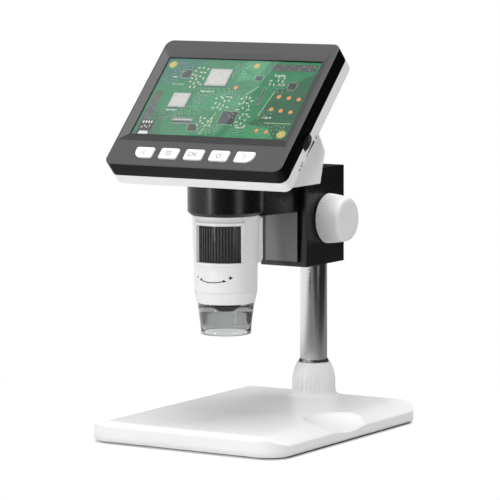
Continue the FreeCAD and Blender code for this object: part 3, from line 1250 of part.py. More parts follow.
def housing_screws():
    seat_n = HOUSING_BACK_N + HOUSING_SCREW_HEAD_H
    length = -1.7 - seat_n
    return group([in_screen_frame(screw(HOUSING_SCREW_HEAD_R, HOUSING_SCREW_HEAD_H, HOUSING_SCREW_R, length,
                                        Placement(Vector(u, v, seat_n), Rotation(X_AXIS, 180))))
                  for u, v in HOUSING_POSTS])


def screen_glass():
    solid = even_plate(VIEW_MIDDLE_U - GLASS_HALF_U, VIEW_MIDDLE_U + GLASS_HALF_U, -GLASS_HALF_V, GLASS_HALF_V,
                       -0.05 - GLASS_THICK, -0.05, 0.8)
    return in_screen_frame(solid)


PANEL_TOP_N = -0.05 - GLASS_THICK


def lcd_panel():
    return in_screen_frame(block(VIEW_MIDDLE_U - PANEL_HALF_U, VIEW_MIDDLE_U + PANEL_HALF_U, PANEL_LOW_V,
                                 PANEL_HIGH_V, PANEL_TOP_N - PANEL_THICK, PANEL_TOP_N))


def main_board():
    body = block(-BOARD_HALF_U, BOARD_HALF_U, BOARD_LOW_V, BOARD_HIGH_V, BOARD_REAR_N, BOARD_REAR_N + BOARD_THICK)
    for u, v in BOARD_POSTS:
        body = body.cut(disc(BOARD_SCREW_R + LOOSE, BOARD_REAR_N - 1, BOARD_REAR_N + BOARD_THICK + 1, u, v))
    return in_screen_frame(body)


def board_screws():
    seat_n = BOARD_REAR_N + BOARD_THICK
    return group([in_screen_frame(screw(BOARD_SCREW_HEAD_R, BOARD_SCREW_HEAD_H, BOARD_SCREW_R, BOARD_SCREW_LENGTH,
                                        Placement(Vector(u, v, seat_n), Rotation()))) for u, v in BOARD_POSTS])


def board_chips():
    chips = []
    for inward, v, width, height in CHIPS:
        u = inward - BOARD_HALF_U
        chip = block(u - width / 2, u + width / 2, v - height / 2, v + height / 2, BOARD_REAR_N - CHIP_THICK,
                     BOARD_REAR_N)
        chips.append(in_screen_frame(chip))
    return group(chips)


def battery():
    u0, u1, v0, v1 = BATTERY_BOX
    return in_screen_frame(even_plate(u0, u1, v0, v1, BACK_FLOOR_N, BACK_FLOOR_N + BATTERY_THICK, 1.5))


def button_board():
    top = BUTTON_BOARD_TOP_N
    return in_screen_frame(block(VIEW_MIDDLE_U - BUTTON_BOARD_HALF_U, VIEW_MIDDLE_U + BUTTON_BOARD_HALF_U,
                                 BUTTON_V - BUTTON_BOARD_HALF_V, BUTTON_V + BUTTON_BOARD_HALF_V,
                                 top - BUTTON_BOARD_THICK, top))


def button_switches():
    switches = []
    for index in range(len(BUTTON_NAMES)):
        u = button_middle(index)
        half = SWITCH_SIZE / 2
        body = block(u - half, u + half, BUTTON_V - half, BUTTON_V + half, BUTTON_BOARD_TOP_N, SWITCH_TOP_N)
        switches.append(in_screen_frame(joined([body, disc(SWITCH_TIP_R, SWITCH_TOP_N, SWITCH_TIP_N, u, BUTTON_V)])))
    return group(switches)


def screen_button(index):
    cap = button_plate(index, 0, FLANGE_TOP_N, HOUSING_FACE_N + BUTTON_PROUD)
    cap = cap.makeFillet(BUTTON_EDGE_R, front_edges(cap, HOUSING_FACE_N + BUTTON_PROUD))
    flange = button_plate(index, BUTTON_FLANGE, FLANGE_LOW_N, FLANGE_TOP_N)
    return in_screen_frame(joined([cap, flange]))


# Dimmer wheel and sockets

def dimmer_wheel():
    wheel = notched_disc(WHEEL_R, WHEEL_R - WHEEL_GROOVE_DEPTH, WHEEL_GROOVE_COUNT, WHEEL_LOW_N, WHEEL_TOP_N,
                         WHEEL_U, WHEEL_V)
    return in_screen_frame(wheel.cut(disc(WHEEL_AXLE_R + SLIP, WHEEL_LOW_N - 1, WHEEL_TOP_N + 1, WHEEL_U, WHEEL_V)))


def dimmer_pot():
    low = disc(POT_R, BACK_FLOOR_N, WHEEL_LOW_N - GAP, WHEEL_U, WHEEL_V)
    axle = disc(WHEEL_AXLE_R, WHEEL_LOW_N - GAP, WHEEL_TOP_N, WHEEL_U, WHEEL_V)
    return in_screen_frame(joined([low, axle]))


def usb_socket():
    u0 = -HOUSING_HALF_U + 0.2
    n0 = BOARD_REAR_N - USB_HEIGHT
    n1 = BOARD_REAR_N
    half = USB_WIDTH / 2
    wall = SOCKET_SHELL
    shell = block(u0, u0 + USB_LENGTH, USB_V - half, USB_V + half, n0, n1)
    shell = shell.cut(block(u0 - 1, u0 + USB_LENGTH - 1, USB_V - half + wall, USB_V + half - wall, n0 + wall, n1 - wall))
    middle = (n0 + n1) / 2
    tongue = block(u0 + 1.2, u0 + USB_LENGTH - 0.5, USB_V - half + 1.2, USB_V + half - 1.2, middle - 0.35, middle + 0.35)
    return in_screen_frame(joined([shell, tongue]))


def card_socket():
    u0 = -HOUSING_HALF_U + HOUSING_WALL + LOOSE
    n0 = BOARD_REAR_N - CARD_HEIGHT
    half = CARD_WIDTH / 2
    wall = SOCKET_SHELL
    shell = block(u0, u0 + CARD_LENGTH, CARD_V - half, CARD_V + half, n0, BOARD_REAR_N)
    slot = block(u0 - 1, u0 + CARD_LENGTH - 1.5, CARD_V - half + 1.2, CARD_V + half - 1.2, n0 + wall,
                 BOARD_REAR_N - wall)
    return in_screen_frame(shell.cut(slot))


PIECES = {
    "base_shell": base_shell,
    "base_cover": base_cover,
    "base_cover_screws": base_cover_screws,
    "base_weight": base_weight,
    "base_feet": base_feet,
    "column_tube": column_tube,
    "column_plug": column_plug,
    "column_washer": column_washer,
    "column_bolt": column_bolt,
    "column_seal": column_seal,
    "head_block": head_block,
    "head_top_cover": head_top_cover,
    "head_cover_screws": head_cover_screws,
    "column_grub_screws": column_grub_screws,
    "shaft_bushes": shaft_bushes,
    "drive_shaft": drive_shaft,
    "pinion_gear": pinion_gear,
    "knob_left": lambda: knob(-1),
    "knob_right": lambda: knob(1),
    "friction_washers": friction_washers,
    "carriage_arm": carriage_arm,
    "tube_set_screws": tube_set_screws,
    "wedge_screws": wedge_screws,
    "rack": rack,
    "rack_screws": rack_screws,
    "lens_tube": lens_tube,
    "tube_neck": tube_neck,
    "tube_end_ring": tube_end_ring,
    "focus_ring": focus_ring,
    "lens_carrier": lens_carrier,
    "lens_barrel": lens_barrel,
    "objective_lens": objective_lens,
    "led_board": led_board,
    "leds": leds,
    "clear_cap": clear_cap,
    "sensor_board": sensor_board,
    "image_sensor": image_sensor,
    "sensor_cable": sensor_cable,
    "front_bezel": front_bezel,
    "rear_shell": rear_shell,
    "housing_screws": housing_screws,
    "screen_glass": screen_glass,
    "lcd_panel": lcd_panel,
    "main_board": main_board,
    "board_screws": board_screws,
    "board_chips": board_chips,
    "battery": battery,
    "button_board": button_board,
    "button_switches": button_switches,
    "dimmer_wheel": dimmer_wheel,
    "dimmer_pot": dimmer_pot,
    "usb_socket": usb_socket,
    "card_socket": card_socket,
}
for button_index, button_name in enumerate(BUTTON_NAMES):
    PIECES[button_name] = lambda index=button_index: screen_button(index)

os.makedirs("parts", exist_ok=True)
for node, make in PIECES.items():
    shape = make()
    solids = shape.Solids
    if not shape.isValid() or not solids:
        print("NOT VALID", node)
    result = solids[0] if len(solids) == 1 else Part.makeCompound(solids)
    result.exportStep("parts/" + node + ".step")
    size = result.BoundBox
    print(node, len(solids), "solids", round(result.Volume, 1), "mm3, z",
          round(size.ZMin, 2), "to", round(size.ZMax, 2))
print(len(PIECES), "nodes, focus travel", CARRIAGE_TRAVEL, "lens travel", FOCUS_TRAVEL, "over", FOCUS_TURN)
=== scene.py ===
# %% [markdown]
# # A digital microscope with a screen, on a column stand
#
# This lesson dresses a finished CAD model. The model already gives every piece its size and place, so
# here the visible pieces are built again with soft edges and fine detail, and every surface gets a
# finish. All numbers in the pieces are millimetres, and they become metres when a mesh is made.

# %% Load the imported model
import json
import math
import bmesh
import bpy
from mathutils import Matrix, Vector


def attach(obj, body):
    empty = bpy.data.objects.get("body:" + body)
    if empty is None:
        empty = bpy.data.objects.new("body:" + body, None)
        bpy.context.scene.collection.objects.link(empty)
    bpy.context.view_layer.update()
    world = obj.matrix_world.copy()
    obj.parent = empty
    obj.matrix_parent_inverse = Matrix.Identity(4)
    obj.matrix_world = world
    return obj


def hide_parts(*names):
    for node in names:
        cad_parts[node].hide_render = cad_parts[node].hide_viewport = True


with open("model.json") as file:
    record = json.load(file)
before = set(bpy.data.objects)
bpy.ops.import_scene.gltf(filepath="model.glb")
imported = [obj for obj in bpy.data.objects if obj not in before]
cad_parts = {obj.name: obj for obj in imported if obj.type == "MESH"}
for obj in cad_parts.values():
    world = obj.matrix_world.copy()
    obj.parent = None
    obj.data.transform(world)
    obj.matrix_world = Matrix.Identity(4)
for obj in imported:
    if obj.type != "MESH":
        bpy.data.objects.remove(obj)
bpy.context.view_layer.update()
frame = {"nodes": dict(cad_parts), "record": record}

MM = 0.001
nodes = frame["nodes"]

# %% [markdown]
# ## The camera
#
# The photograph was taken from the front right, a little above the lens, with a long lens. A camera could
# be aimed by eye, but here its place and turn were solved from the straight edges of the base and the
# screen, so they are written as numbers: the viewer's place in millimetres, how far it is turned, tipped
# and rolled.

# %% Camera at the photograph's angle
EYE = Vector((898.96, -1444.0, 286.53))
TURN, TIP, ROLL = (math.radians(a) for a in (32.01, 6.33, -0.15))
camera_data = bpy.data.cameras.new("photo_camera")
camera_data.sensor_width = 36.0
camera_data.lens = 3211.32 / 500 * 36.0
camera_data.clip_start = 0.05
camera = bpy.data.objects.new("photo_camera", camera_data)
bpy.context.scene.collection.objects.link(camera)
forward = Vector((-math.sin(TURN) * math.cos(TIP), math.cos(TURN) * math.cos(TIP), -math.sin(TIP)))
right = Vector((math.cos(TURN), math.sin(TURN), 0))
up = right.cross(forward)
level = Matrix((right, up, -forward)).transposed().to_4x4()
camera.matrix_world = Matrix.Translation(EYE * MM) @ level @ Matrix.Rotation(ROLL, 4, "Z")
bpy.context.scene.camera = camera
bpy.context.scene.view_settings.view_transform = "Standard"
print("lens", round(camera_data.lens, 1), "mm, from", [round(c, 3) for c in camera.location])

# %% [markdown]
# ## Light, floor and background
#
# A product of white and black plastic is lit by large soft lamps, because small ones leave hard spots on
# it. The big lamp hangs above, and a weak one fills from the left. A tall narrow one in front draws an
# upright bright line on the round pieces, and a low one opens the shadow on the right. The world looks
# white to the camera and through clear pieces, but it lights the object only weakly, so that the shading
# of the shells stays. To mirror-like pieces it is nearly dark, so that black plastic looks black and the
# chromed column gets a dark side.

# %% Soft studio light
def soft_lamp(name, place, aim, width, height, power):
    lamp_data = bpy.data.lights.new(name, "AREA")
    lamp_data.shape = "RECTANGLE"
    lamp_data.size = width
    lamp_data.size_y = height
    lamp_data.energy = power
    lamp = bpy.data.objects.new(name, lamp_data)
    bpy.context.scene.collection.objects.link(lamp)
    toward = Vector(aim) - Vector(place)
    lamp.matrix_world = Matrix.Translation(place) @ toward.to_track_quat("-Z", "Y").to_matrix().to_4x4()
    return lamp


MIDDLE, RIGHT_FOOT = (0, 0, 0.10), (0.06, 0, 0)
soft_lamp("lamp_left", (-1.15, -0.85, 0.75), MIDDLE, width=0.9, height=0.9, power=1.5)
lamp_above = soft_lamp("lamp_above", (0.05, -0.15, 1.4), MIDDLE, width=1.2, height=1.2, power=26)
lamp_above.visible_glossy = False
soft_lamp("lamp_front", (-0.40, -1.44, 0.32), MIDDLE, width=0.12, height=0.9, power=7)
soft_lamp("lamp_right", (1.1, -0.35, 0.06), RIGHT_FOOT, width=0.4, height=0.1, power=0.7)

# %% Helpers for trees of nodes
def feed(tree, node, inputs):
    # Each input gets a value, or a link where it is given another node's result
    for socket, source in inputs.items():
        if isinstance(source, bpy.types.NodeSocket):
            tree.links.new(source, node.inputs[socket])
        else:
            node.inputs[socket].default_value = source
    return node


def add(tree, kind, inputs=None, **settings):
    # A new node of one kind with its settings and inputs
    node = tree.nodes.new(kind)
    for setting, value in settings.items():
        setattr(node, setting, value)
    return feed(tree, node, inputs or {})

# %% White surroundings
def ray_switch(tree, *kinds):
    # One for the named kinds of ray, nought for the others
    rays = add(tree, "ShaderNodeLightPath").outputs
    found = rays[kinds[0]]
    for kind in kinds[1:]:
        found = add(tree, "ShaderNodeMath", {0: found, 1: rays[kind]}, operation="MAXIMUM").outputs[0]
    return found


def shade(tree, strength):
    return add(tree, "ShaderNodeBackground", {"Color": (1, 1, 1, 1), "Strength": strength}).outputs[0]


def mixed(tree, factor, first, second):
    # The first shader where the factor is nought, the second where it is one
    return add(tree, "ShaderNodeMixShader", {0: factor, 1: first, 2: second}).outputs[0]


WORLD_LIGHT, WORLD_MIRRORED, WORLD_SEEN = 0.43, 0.06, 1.0
world = bpy.data.worlds.new("studio")
bpy.context.scene.world = world
world.use_nodes = True
sky = world.node_tree
sky.nodes.clear()
dimmed = mixed(sky, ray_switch(sky, "Is Glossy Ray"), shade(sky, WORLD_LIGHT), shade(sky, WORLD_MIRRORED))
either = mixed(sky, ray_switch(sky, "Is Camera Ray", "Is Transmission Ray"), dimmed, shade(sky, WORLD_SEEN))
add(sky, "ShaderNodeOutputWorld", {"Surface": either})
print("world nodes", len(sky.nodes))

# %% [markdown]
# The floor is one pale sheet that runs out of the picture on all sides. Its material is plain white paper
# for the light, and pure white for the camera except where the object's shadow falls, which is how a
# product photograph keeps a soft shadow on a white page. Mirror-like pieces see it bright on the left and
# dark on the right, which gives the chrome its stripes, and clear pieces see a bright strip straight
# behind the object and dark beside it, which draws their edges. Real cards beside the object could do
# this too, but they would also light it.

# %% Floor
PAPER, PAPER_ROUGH, PAPER_LIFT = (0.6, 0.6, 0.6, 1), 0.9, 0.42
SHADOW_REACH, PAGE_START, FLOOR_HALF = 0.10, 0.24, 6.0
IN_MIRRORS = ((0.0, 1.0), (1.0, 0.05), (0.3, 1.0), (0.4, 0.5), (0.5, 0.26), (0.6, 0.26), (0.7, 0.06))
THROUGH_CLEAR = ((0.0, 0.3), (1.0, 0.02), (0.44, 0.35), (0.475, 1.0), (0.52, 1.0), (0.545, 0.12),
                 (0.6, 0.02))
floor_mesh = bpy.data.meshes.new("floor")
floor_corners = [(x * FLOOR_HALF, y * FLOOR_HALF, 0) for x, y in ((-1, -1), (1, -1), (1, 1), (-1, 1))]
floor_mesh.from_pydata(floor_corners, [], [(0, 1, 2, 3)])
floor = bpy.data.objects.new("floor", floor_mesh)
bpy.context.scene.collection.objects.link(floor)
paper = bpy.data.materials.new("pale_floor")
paper.use_nodes = True
paper_tree = paper.node_tree
paper_shader = paper_tree.nodes["Principled BSDF"]
feed(paper_tree, paper_shader, {"Base Color": PAPER, "Roughness": PAPER_ROUGH})
page = add(paper_tree, "ShaderNodeEmission").outputs[0]
lift = add(paper_tree, "ShaderNodeEmission", {"Strength": PAPER_LIFT}).outputs[0]
lifted = add(paper_tree, "ShaderNodeAddShader", {0: paper_shader.outputs[0], 1: lift}).outputs[0]
floor_place = add(paper_tree, "ShaderNodeTexCoord").outputs["Object"]
distance = add(paper_tree, "ShaderNodeVectorMath", {0: floor_place}, operation="LENGTH").outputs["Value"]
fade = add(paper_tree, "ShaderNodeMapRange",
           {"Value": distance, "From Min": SHADOW_REACH, "From Max": PAGE_START},
           interpolation_type="SMOOTHSTEP").outputs["Result"]
print("floor", floor.dimensions[:])

# %% What mirror-like and clear pieces see of the floor
def floor_glow(across, levels):
    # A glow that changes along one direction of the floor, from side to side of the object
    along = add(paper_tree, "ShaderNodeVectorMath", {0: floor_place, 1: across}, operation="DOT_PRODUCT")
    ranged = add(paper_tree, "ShaderNodeMapRange",
                 {"Value": along.outputs["Value"], "From Min": -1.0, "From Max": 1.0})
    ramp = add(paper_tree, "ShaderNodeFloatCurve", {"Value": ranged.outputs["Result"]})
    stops = ramp.mapping.curves[0].points
    for k, stop in enumerate(levels):
        if k < 2:
            stops[k].location = stop
        else:
            stops.new(*stop)
    ramp.mapping.update()
    return add(paper_tree, "ShaderNodeEmission", {"Strength": ramp.outputs["Value"]}).outputs[0]


far_mirror = add(paper_tree, "ShaderNodeMath", {0: ray_switch(paper_tree, "Is Glossy Ray"), 1: fade},
                 operation="MULTIPLY").outputs[0]
mirrored = mixed(paper_tree, far_mirror, paper_shader.outputs[0], floor_glow((1, 0, 0), IN_MIRRORS))
through = mixed(paper_tree, ray_switch(paper_tree, "Is Transmission Ray"), page,
                floor_glow((math.cos(TURN), math.sin(TURN), 0), THROUGH_CLEAR))
seen = mixed(paper_tree, fade, lifted, through)
surface = mixed(paper_tree, ray_switch(paper_tree, "Is Camera Ray", "Is Transmission Ray"), mirrored, seen)
feed(paper_tree, paper_tree.nodes["Material Output"], {"Surface": surface})
floor_mesh.materials.append(paper)
print("floor material nodes", len(paper_tree.nodes))

# %% [markdown]
# ## Finishes
#
# Moulded plastic is never one flat colour: it has a fine grain from the mould, a gloss that changes a
# little from place to place, and faint clouds in its colour. Three noise patterns of different sizes on
# the object's own coordinates give these. A photograph of real plastic could be wrapped round the pieces
# as well, but noise needs no picture and has no seams.

# %% A finish with grain
PLASTIC_IOR, CLOUD_MM, PATCH_MM, GRAIN_RISE_MM, SMEAR_MM = 1.46, 28.0, 9.0, 0.02, 14.0


def node_material(name):
    material = bpy.data.materials.new(name)
    material.use_nodes = True
    return material, material.node_tree, material.node_tree.nodes["Principled BSDF"]


def noise(tree, size_mm, detail=2.0, stretch=(1, 1, 1)):
    here = add(tree, "ShaderNodeTexCoord").outputs["Object"]
    place = add(tree, "ShaderNodeMapping", {"Vector": here, "Scale": stretch}).outputs["Vector"]
    return add(tree, "ShaderNodeTexNoise",
               {"Vector": place, "Scale": 1.0 / (size_mm * MM), "Detail": detail}).outputs["Fac"]


def spread(tree, value, low, high):
    # The usual range of a noise, widened to the wanted one
    return add(tree, "ShaderNodeMapRange", {"Value": value, "From Min": 0.3, "From Max": 0.7,
                                            "To Min": low, "To Max": high}).outputs["Result"]


def two_colours(tree, factor, first, second, blend="MIX"):
    return add(tree, "ShaderNodeMix", {"Factor": factor, "A": first, "B": second},
               data_type="RGBA", blend_type=blend).outputs["Result"]


def finish(name, colour, rough, grain_mm=0.35, grain_depth=0.12, clouds=0.03, rough_change=0.05,
           metallic=0.0, stretch=(1, 1, 1), edge_mm=0.25, shine=0.5):
    material, tree, shader = node_material(name)
    darker = tuple(c * (1 - clouds) for c in colour) + (1,)
    lighter = tuple(min(1.0, c * (1 + clouds)) for c in colour) + (1,)
    patch = noise(tree, PATCH_MM, 4.0, stretch)
    bump = add(tree, "ShaderNodeBump", {"Height": noise(tree, grain_mm, 2.0, stretch),
                                        "Strength": grain_depth, "Distance": GRAIN_RISE_MM * MM})
    if edge_mm:
        eased = add(tree, "ShaderNodeBevel", {"Radius": edge_mm * MM}, samples=4)
        feed(tree, bump, {"Normal": eased.outputs["Normal"]})
    feed(tree, shader, {"Base Color": two_colours(tree, noise(tree, CLOUD_MM, 3.0), darker, lighter),
                        "Roughness": spread(tree, patch, rough - rough_change, rough + rough_change),
                        "Metallic": metallic, "IOR": PLASTIC_IOR, "Specular IOR Level": shine,
                        "Normal": bump.outputs["Normal"]})
    return material


paint = {
    "white_plastic": finish("white_plastic", (0.82, 0.82, 0.82), 0.34, edge_mm=0.4),
    "dark_plastic": finish("dark_plastic", (0.03, 0.03, 0.032), 0.55, 0.5, 0.3),
    "black_plastic": finish("black_plastic", (0.010, 0.010, 0.0105), 0.32, edge_mm=0.35, shine=0.35),
    "grey_plastic": finish("grey_plastic", (0.022, 0.022, 0.023), 0.2, 0.3, 0.05, 0.03, 0.015, edge_mm=0.0,
                           shine=1.0),
    "knob_plastic": finish("knob_plastic", (0.76, 0.76, 0.76), 0.38, edge_mm=0.0),
    "button_plastic": finish("button_plastic", (0.70, 0.70, 0.71), 0.3, 0.3, 0.06, edge_mm=0.0),
    "black_metal": finish("black_metal", (0.010, 0.010, 0.0105), 0.36, 0.25, 0.25, edge_mm=0.5, shine=0.35),
    "chrome": finish("chrome", (0.72, 0.73, 0.74), 0.1, 1.2, 0.05, 0.02, 0.03, 1.0, (1, 1, 0.03),
                     edge_mm=0.0),
    "steel": finish("steel", (0.55, 0.56, 0.58), 0.3, 0.4, 0.15, 0.05, 0.08, 1.0),
    "dark_steel": finish("dark_steel", (0.06, 0.06, 0.065), 0.4, 0.4, 0.2, 0.05, 0.08, 1.0),
    "switch_metal": finish("switch_metal", (0.6, 0.6, 0.58), 0.28, 0.5, 0.15, 0.06, 0.1, 1.0),
    "brass": finish("brass", (0.66, 0.47, 0.2), 0.27, 0.4, 0.15, 0.08, 0.08, 1.0),
    "rubber": finish("rubber", (0.02, 0.02, 0.02), 0.75, 0.6, 0.4),
    "lamp": finish("lamp", (0.87, 0.84, 0.5), 0.45, 0.2, 0.3),
    "black_board": finish("black_board", (0.03, 0.028, 0.026), 0.42, 0.5, 0.2),
    "green_board": finish("green_board", (0.02, 0.17, 0.07), 0.35, 0.7, 0.3, 0.15),
    "chip": finish("chip", (0.035, 0.035, 0.035), 0.5, 0.3, 0.3),
    "film_cable": finish("film_cable", (0.5, 0.26, 0.06), 0.35, 0.6, 0.2, 0.1),
    "foil": finish("foil", (0.6, 0.61, 0.62), 0.35, 3.0, 0.9, 0.05, 0.1, 1.0),
    "screen": finish("screen", (0.03, 0.2, 0.09), 0.3),
}
print("finishes", len(paint))

# %% [markdown]
# The cap, the lens and the cover of the screen are clear. Light goes through clear plastic and bends, so
# the shader's transmission is on and its roughness is low.

# %% Clear finishes
def clear(name, colour, rough, ior, smears=0.03):
    material, tree, shader = node_material(name)
    feed(tree, shader, {"Base Color": colour + (1,), "IOR": ior, "Transmission Weight": 1.0,
                        "Roughness": spread(tree, noise(tree, SMEAR_MM, 3.0), rough, rough + smears)})
    return material


paint["clear_plastic"] = clear("clear_plastic", (0.56, 0.57, 0.57), 0.01, 1.49)
paint["lens_glass"] = clear("lens_glass", (0.9, 0.95, 0.98), 0.0, 1.52)
paint["screen_glass"] = clear("screen_glass", (0.98, 0.99, 0.99), 0.0, 1.5, 0.012)
print("finishes", len(paint))

# %% Put a finish on every CAD node
slot_of = {part["node"]: part["material_slot"] for part in frame["record"]["subparts"]}
for node, piece in nodes.items():
    piece.data.materials.clear()
    piece.data.materials.append(paint[slot_of[node]])
print("dressed", len(slot_of), "nodes")

# %% [markdown]
# ## Building a mesh
#
# Every piece is made as points and faces in millimetres and then settled: doubles are merged, the faces
# are turned outwards, the mesh is moved to its place and turned into metres, and edges sharper than a
# limit are marked so that flat sides stay flat while round ones look smooth. One helper does this for all
# pieces.

# %% Settle a mesh into a piece
LEVEL = Matrix.Identity(4)
SCREEN_MIDDLE, SCREEN_TILT = Vector((0, -29.2, 180.6)), 45
SCREEN_TURN = Matrix.Rotation(math.radians(SCREEN_TILT), 4, "X")
SCREEN = Matrix.Translation(SCREEN_MIDDLE) @ SCREEN_TURN


def clean(mesh, merge, move=LEVEL):
    # Doubles merged, faces turned outwards, and the mesh moved
    work = bmesh.new()
    work.from_mesh(mesh)
    bmesh.ops.remove_doubles(work, verts=work.verts, dist=merge)
    bmesh.ops.recalc_face_normals(work, faces=work.faces)
    bmesh.ops.transform(work, matrix=move, verts=work.verts)
    work.to_mesh(mesh)
    work.free()
    return mesh


def settle(name, points, faces, body, slot_name, stands_for=(), material=None, place=LEVEL, sharp=35.0):
    mesh = bpy.data.meshes.new(name)
    mesh.from_pydata([tuple(p) for p in points], [], faces)
    clean(mesh, 0.0005, Matrix.Scale(MM, 4) @ place)
    return put(name, mesh, body, slot_name, stands_for, material, sharp)


def put(name, mesh, body, slot_name, stands_for=(), material=None, sharp=35.0):
    mesh.name = name
    mesh.shade_smooth()
    mesh.set_sharp_from_angle(angle=math.radians(sharp))
    if not mesh.materials:
        mesh.materials.append(material or paint[slot_name])
    piece = bpy.data.objects.new(name, mesh)
    bpy.context.scene.collection.objects.link(piece)
    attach(piece, body)
    if stands_for:
        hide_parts(*stands_for)
    print(name, len(mesh.polygons), "faces")
    return piece

# %% Rings of points joined by bands of faces
def band(rings):
    count = len(rings[0])
    points = [point for ring in rings for point in ring]
    faces = []
    for k in range(len(rings) - 1):
        for i in range(count):
            a = k * count + i
            b = k * count + (i + 1) % count
            faces.append((a, b, b + count, a + count))
    return points, faces


def closed_band(rings):
    # The same, with the first and the last ring filled
    points, faces = band(rings)
    count = len(rings[0])
    for start in (0, len(points) - count):
        faces.append(tuple(range(start, start + count)))
    return points, faces


def lathe(profile, centre=(0.0, 0.0), segments=96, angles=None, change=None):
    # A closed profile of (radius, height) points turned round an upright line
    turns = angles or [2 * math.pi * k / segments for k in range(segments)]
    rings = []
    for r, z in profile:
        ring = []
        for t in turns:
            reach = change(r, z, t) if change else r
            ring.append((centre[0] + reach * math.cos(t), centre[1] + reach * math.sin(t), z))
        rings.append(ring)
    return band(rings + rings[:1])


def rounded_outline(x0, x1, y0, y1, radii, z, steps=8, straight=(1, 1)):
    outline = []
    corners = ((x0, y0, 1, 1, 180), (x1, y0, -1, 1, 270), (x1, y1, -1, -1, 0), (x0, y1, 1, -1, 90))
    for (x, y, sx, sy, start), r in zip(corners, radii):
        for k in range(steps + 1):
            t = math.radians(start + 90.0 * k / steps)
            outline.append((x + sx * r + r * math.cos(t), y + sy * r + r * math.sin(t), z))
    filled = []
    for index, point in enumerate(outline):
        filled.append(point)
        after = outline[(index + 1) % len(outline)]
        if index % (steps + 1) == steps:
            cuts = straight[(index // (steps + 1)) % 2]
            for k in range(1, cuts):
                filled.append(tuple(a + (b - a) * k / cuts for a, b in zip(point, after)))
    return filled


print("helpers ready")

# %% [markdown]
# ## The base
#
# The base is one white moulding: a flat stage, wide round shoulders on the two long sides, a softer edge
# at the front and back, and a thumb scoop in the right shoulder. It could be cut from a block with
# booleans, but the shapes run into each other softly. So it is made as rings of points, from the rim
# inwards, and one rule gives the height of each point: the lowest of the side curve, the front curve and
# the scoop, blended where they meet.

# %% The height rule of the base
HALF_X, HALF_Y, CORNER, STAGE_Z, BAND_Z = 59.6, 75.7, 13.0, 11.8, 6.8
STAGE_HALF, EDGE_Z, EDGE_RUN = 45.0, 9.4, 5.0
SCOOP = Vector((59.6, -2.0, 14.8))
SCOOP_SIZE = (27.4, 23.2, 9.5)


def soften(a, b, blend):
    gap = max(blend - abs(a - b), 0.0) / blend
    return min(a, b) - gap * gap * blend / 4


def stage_height(x, y):
    run, drop = HALF_X - STAGE_HALF, STAGE_Z - BAND_Z
    radius = (run * run + drop * drop) / (2 * drop)
    out_x = max(abs(x) - STAGE_HALF, 0.0)
    side_drop = radius - math.sqrt(max(radius * radius - out_x * out_x, 0.0))
    out_y = min(max(abs(y) - (HALF_Y - EDGE_RUN), 0.0) / EDGE_RUN, 1.0)
    front_drop = (STAGE_Z - EDGE_Z) * (1 - math.sqrt(1.0 - out_y ** 2.4))
    height = STAGE_Z - (side_drop ** 3 + front_drop ** 3) ** (1 / 3)
    inside = 1 - ((x - SCOOP.x) / SCOOP_SIZE[0]) ** 2 - ((y - SCOOP.y) / SCOOP_SIZE[1]) ** 2
    if inside > 0:
        height = soften(height, SCOOP.z - SCOOP_SIZE[2] * math.sqrt(inside), 0.9)
    return height


print("height at the middle, the right rim and in the scoop",
      [round(stage_height(*p), 2) for p in ((0, 0), (59.6, 40), (52, -2))])

# %% The base's rings, from the lower rim to the flat stage
def base_ring(inset, drop=None):
    radius = max(CORNER - inset, 0.6)
    ring = rounded_outline(-HALF_X + inset, HALF_X - inset, -HALF_Y + inset, HALF_Y - inset,
                           (radius,) * 4, 0.0, 14, (56, 96))
    if drop is None:
        return [(x, y, stage_height(x, y)) for x, y, _ in ring]
    return [(x, y, drop(x, y)) for x, y, _ in ring]


FOOT_Z, FOOT_INSET, LOW_Z, RIM_DROP = 1.3, 0.7, 1.9, 0.35
rings = [base_ring(FOOT_INSET, lambda x, y: FOOT_Z), base_ring(0.0, lambda x, y: LOW_Z)]
for share in (0.35, 0.7, 0.9):
    rings.append(base_ring(0.0, lambda x, y: LOW_Z + share * (stage_height(x, y) - RIM_DROP - LOW_Z)))
rings.append(base_ring(0.0, lambda x, y: stage_height(x, y) - RIM_DROP))
rings += [base_ring(inset) for inset in [0.12, 0.45] + [0.9 + 0.75 * k for k in range(38)]]
points, faces = closed_band(rings)
print("base rings", len(rings), "of", len(rings[0]), "points")

# %% [markdown]
# The column stands in a bell-shaped collar that belongs to the same moulding. It is turned from a
# profile, and nine thin grooves run up its front. The grooves are pressed into the turned shape by making
# the radius a little smaller at nine angles, with extra columns of points there, which keeps the mesh
# light elsewhere.

# %% The collar
COLLAR = (0.0, 60.0)
GROOVES = [math.radians(-90 + (k - 4) * 11.75) for k in range(9)]
GROOVE_LOW, GROOVE_HIGH, GROOVE_DEPTH, GROOVE_HALF = 13.6, 22.6, 0.42, 0.026
collar_profile = [
    (13.0, 10.6), (15.7, 11.3), (15.4, 11.78), (14.6, 11.85), (13.7, 12.3), (12.9, 13.1), (12.35, 14.2),
    (12.1, 15.6), (12.02, 17.0), (12.0, 19.0), (11.95, 21.0), (11.75, 22.4), (11.5, 23.6), (11.1, 25.3),
    (10.6, 26.9), (10.05, 28.3), (9.5, 29.5), (9.15, 30.1), (8.8, 30.45), (8.45, 30.6), (7.5, 30.6),
    (7.5, 26.0), (7.5, 10.6)]
beside = (-0.05, -0.034, -0.024, -0.012, 0, 0.012, 0.024, 0.034, 0.05)
angles = {round(t + d, 6) for t in GROOVES for d in beside}
angles |= {round(math.radians(a), 6) for a in range(-24, 216, 5)}
angles = sorted(angles)


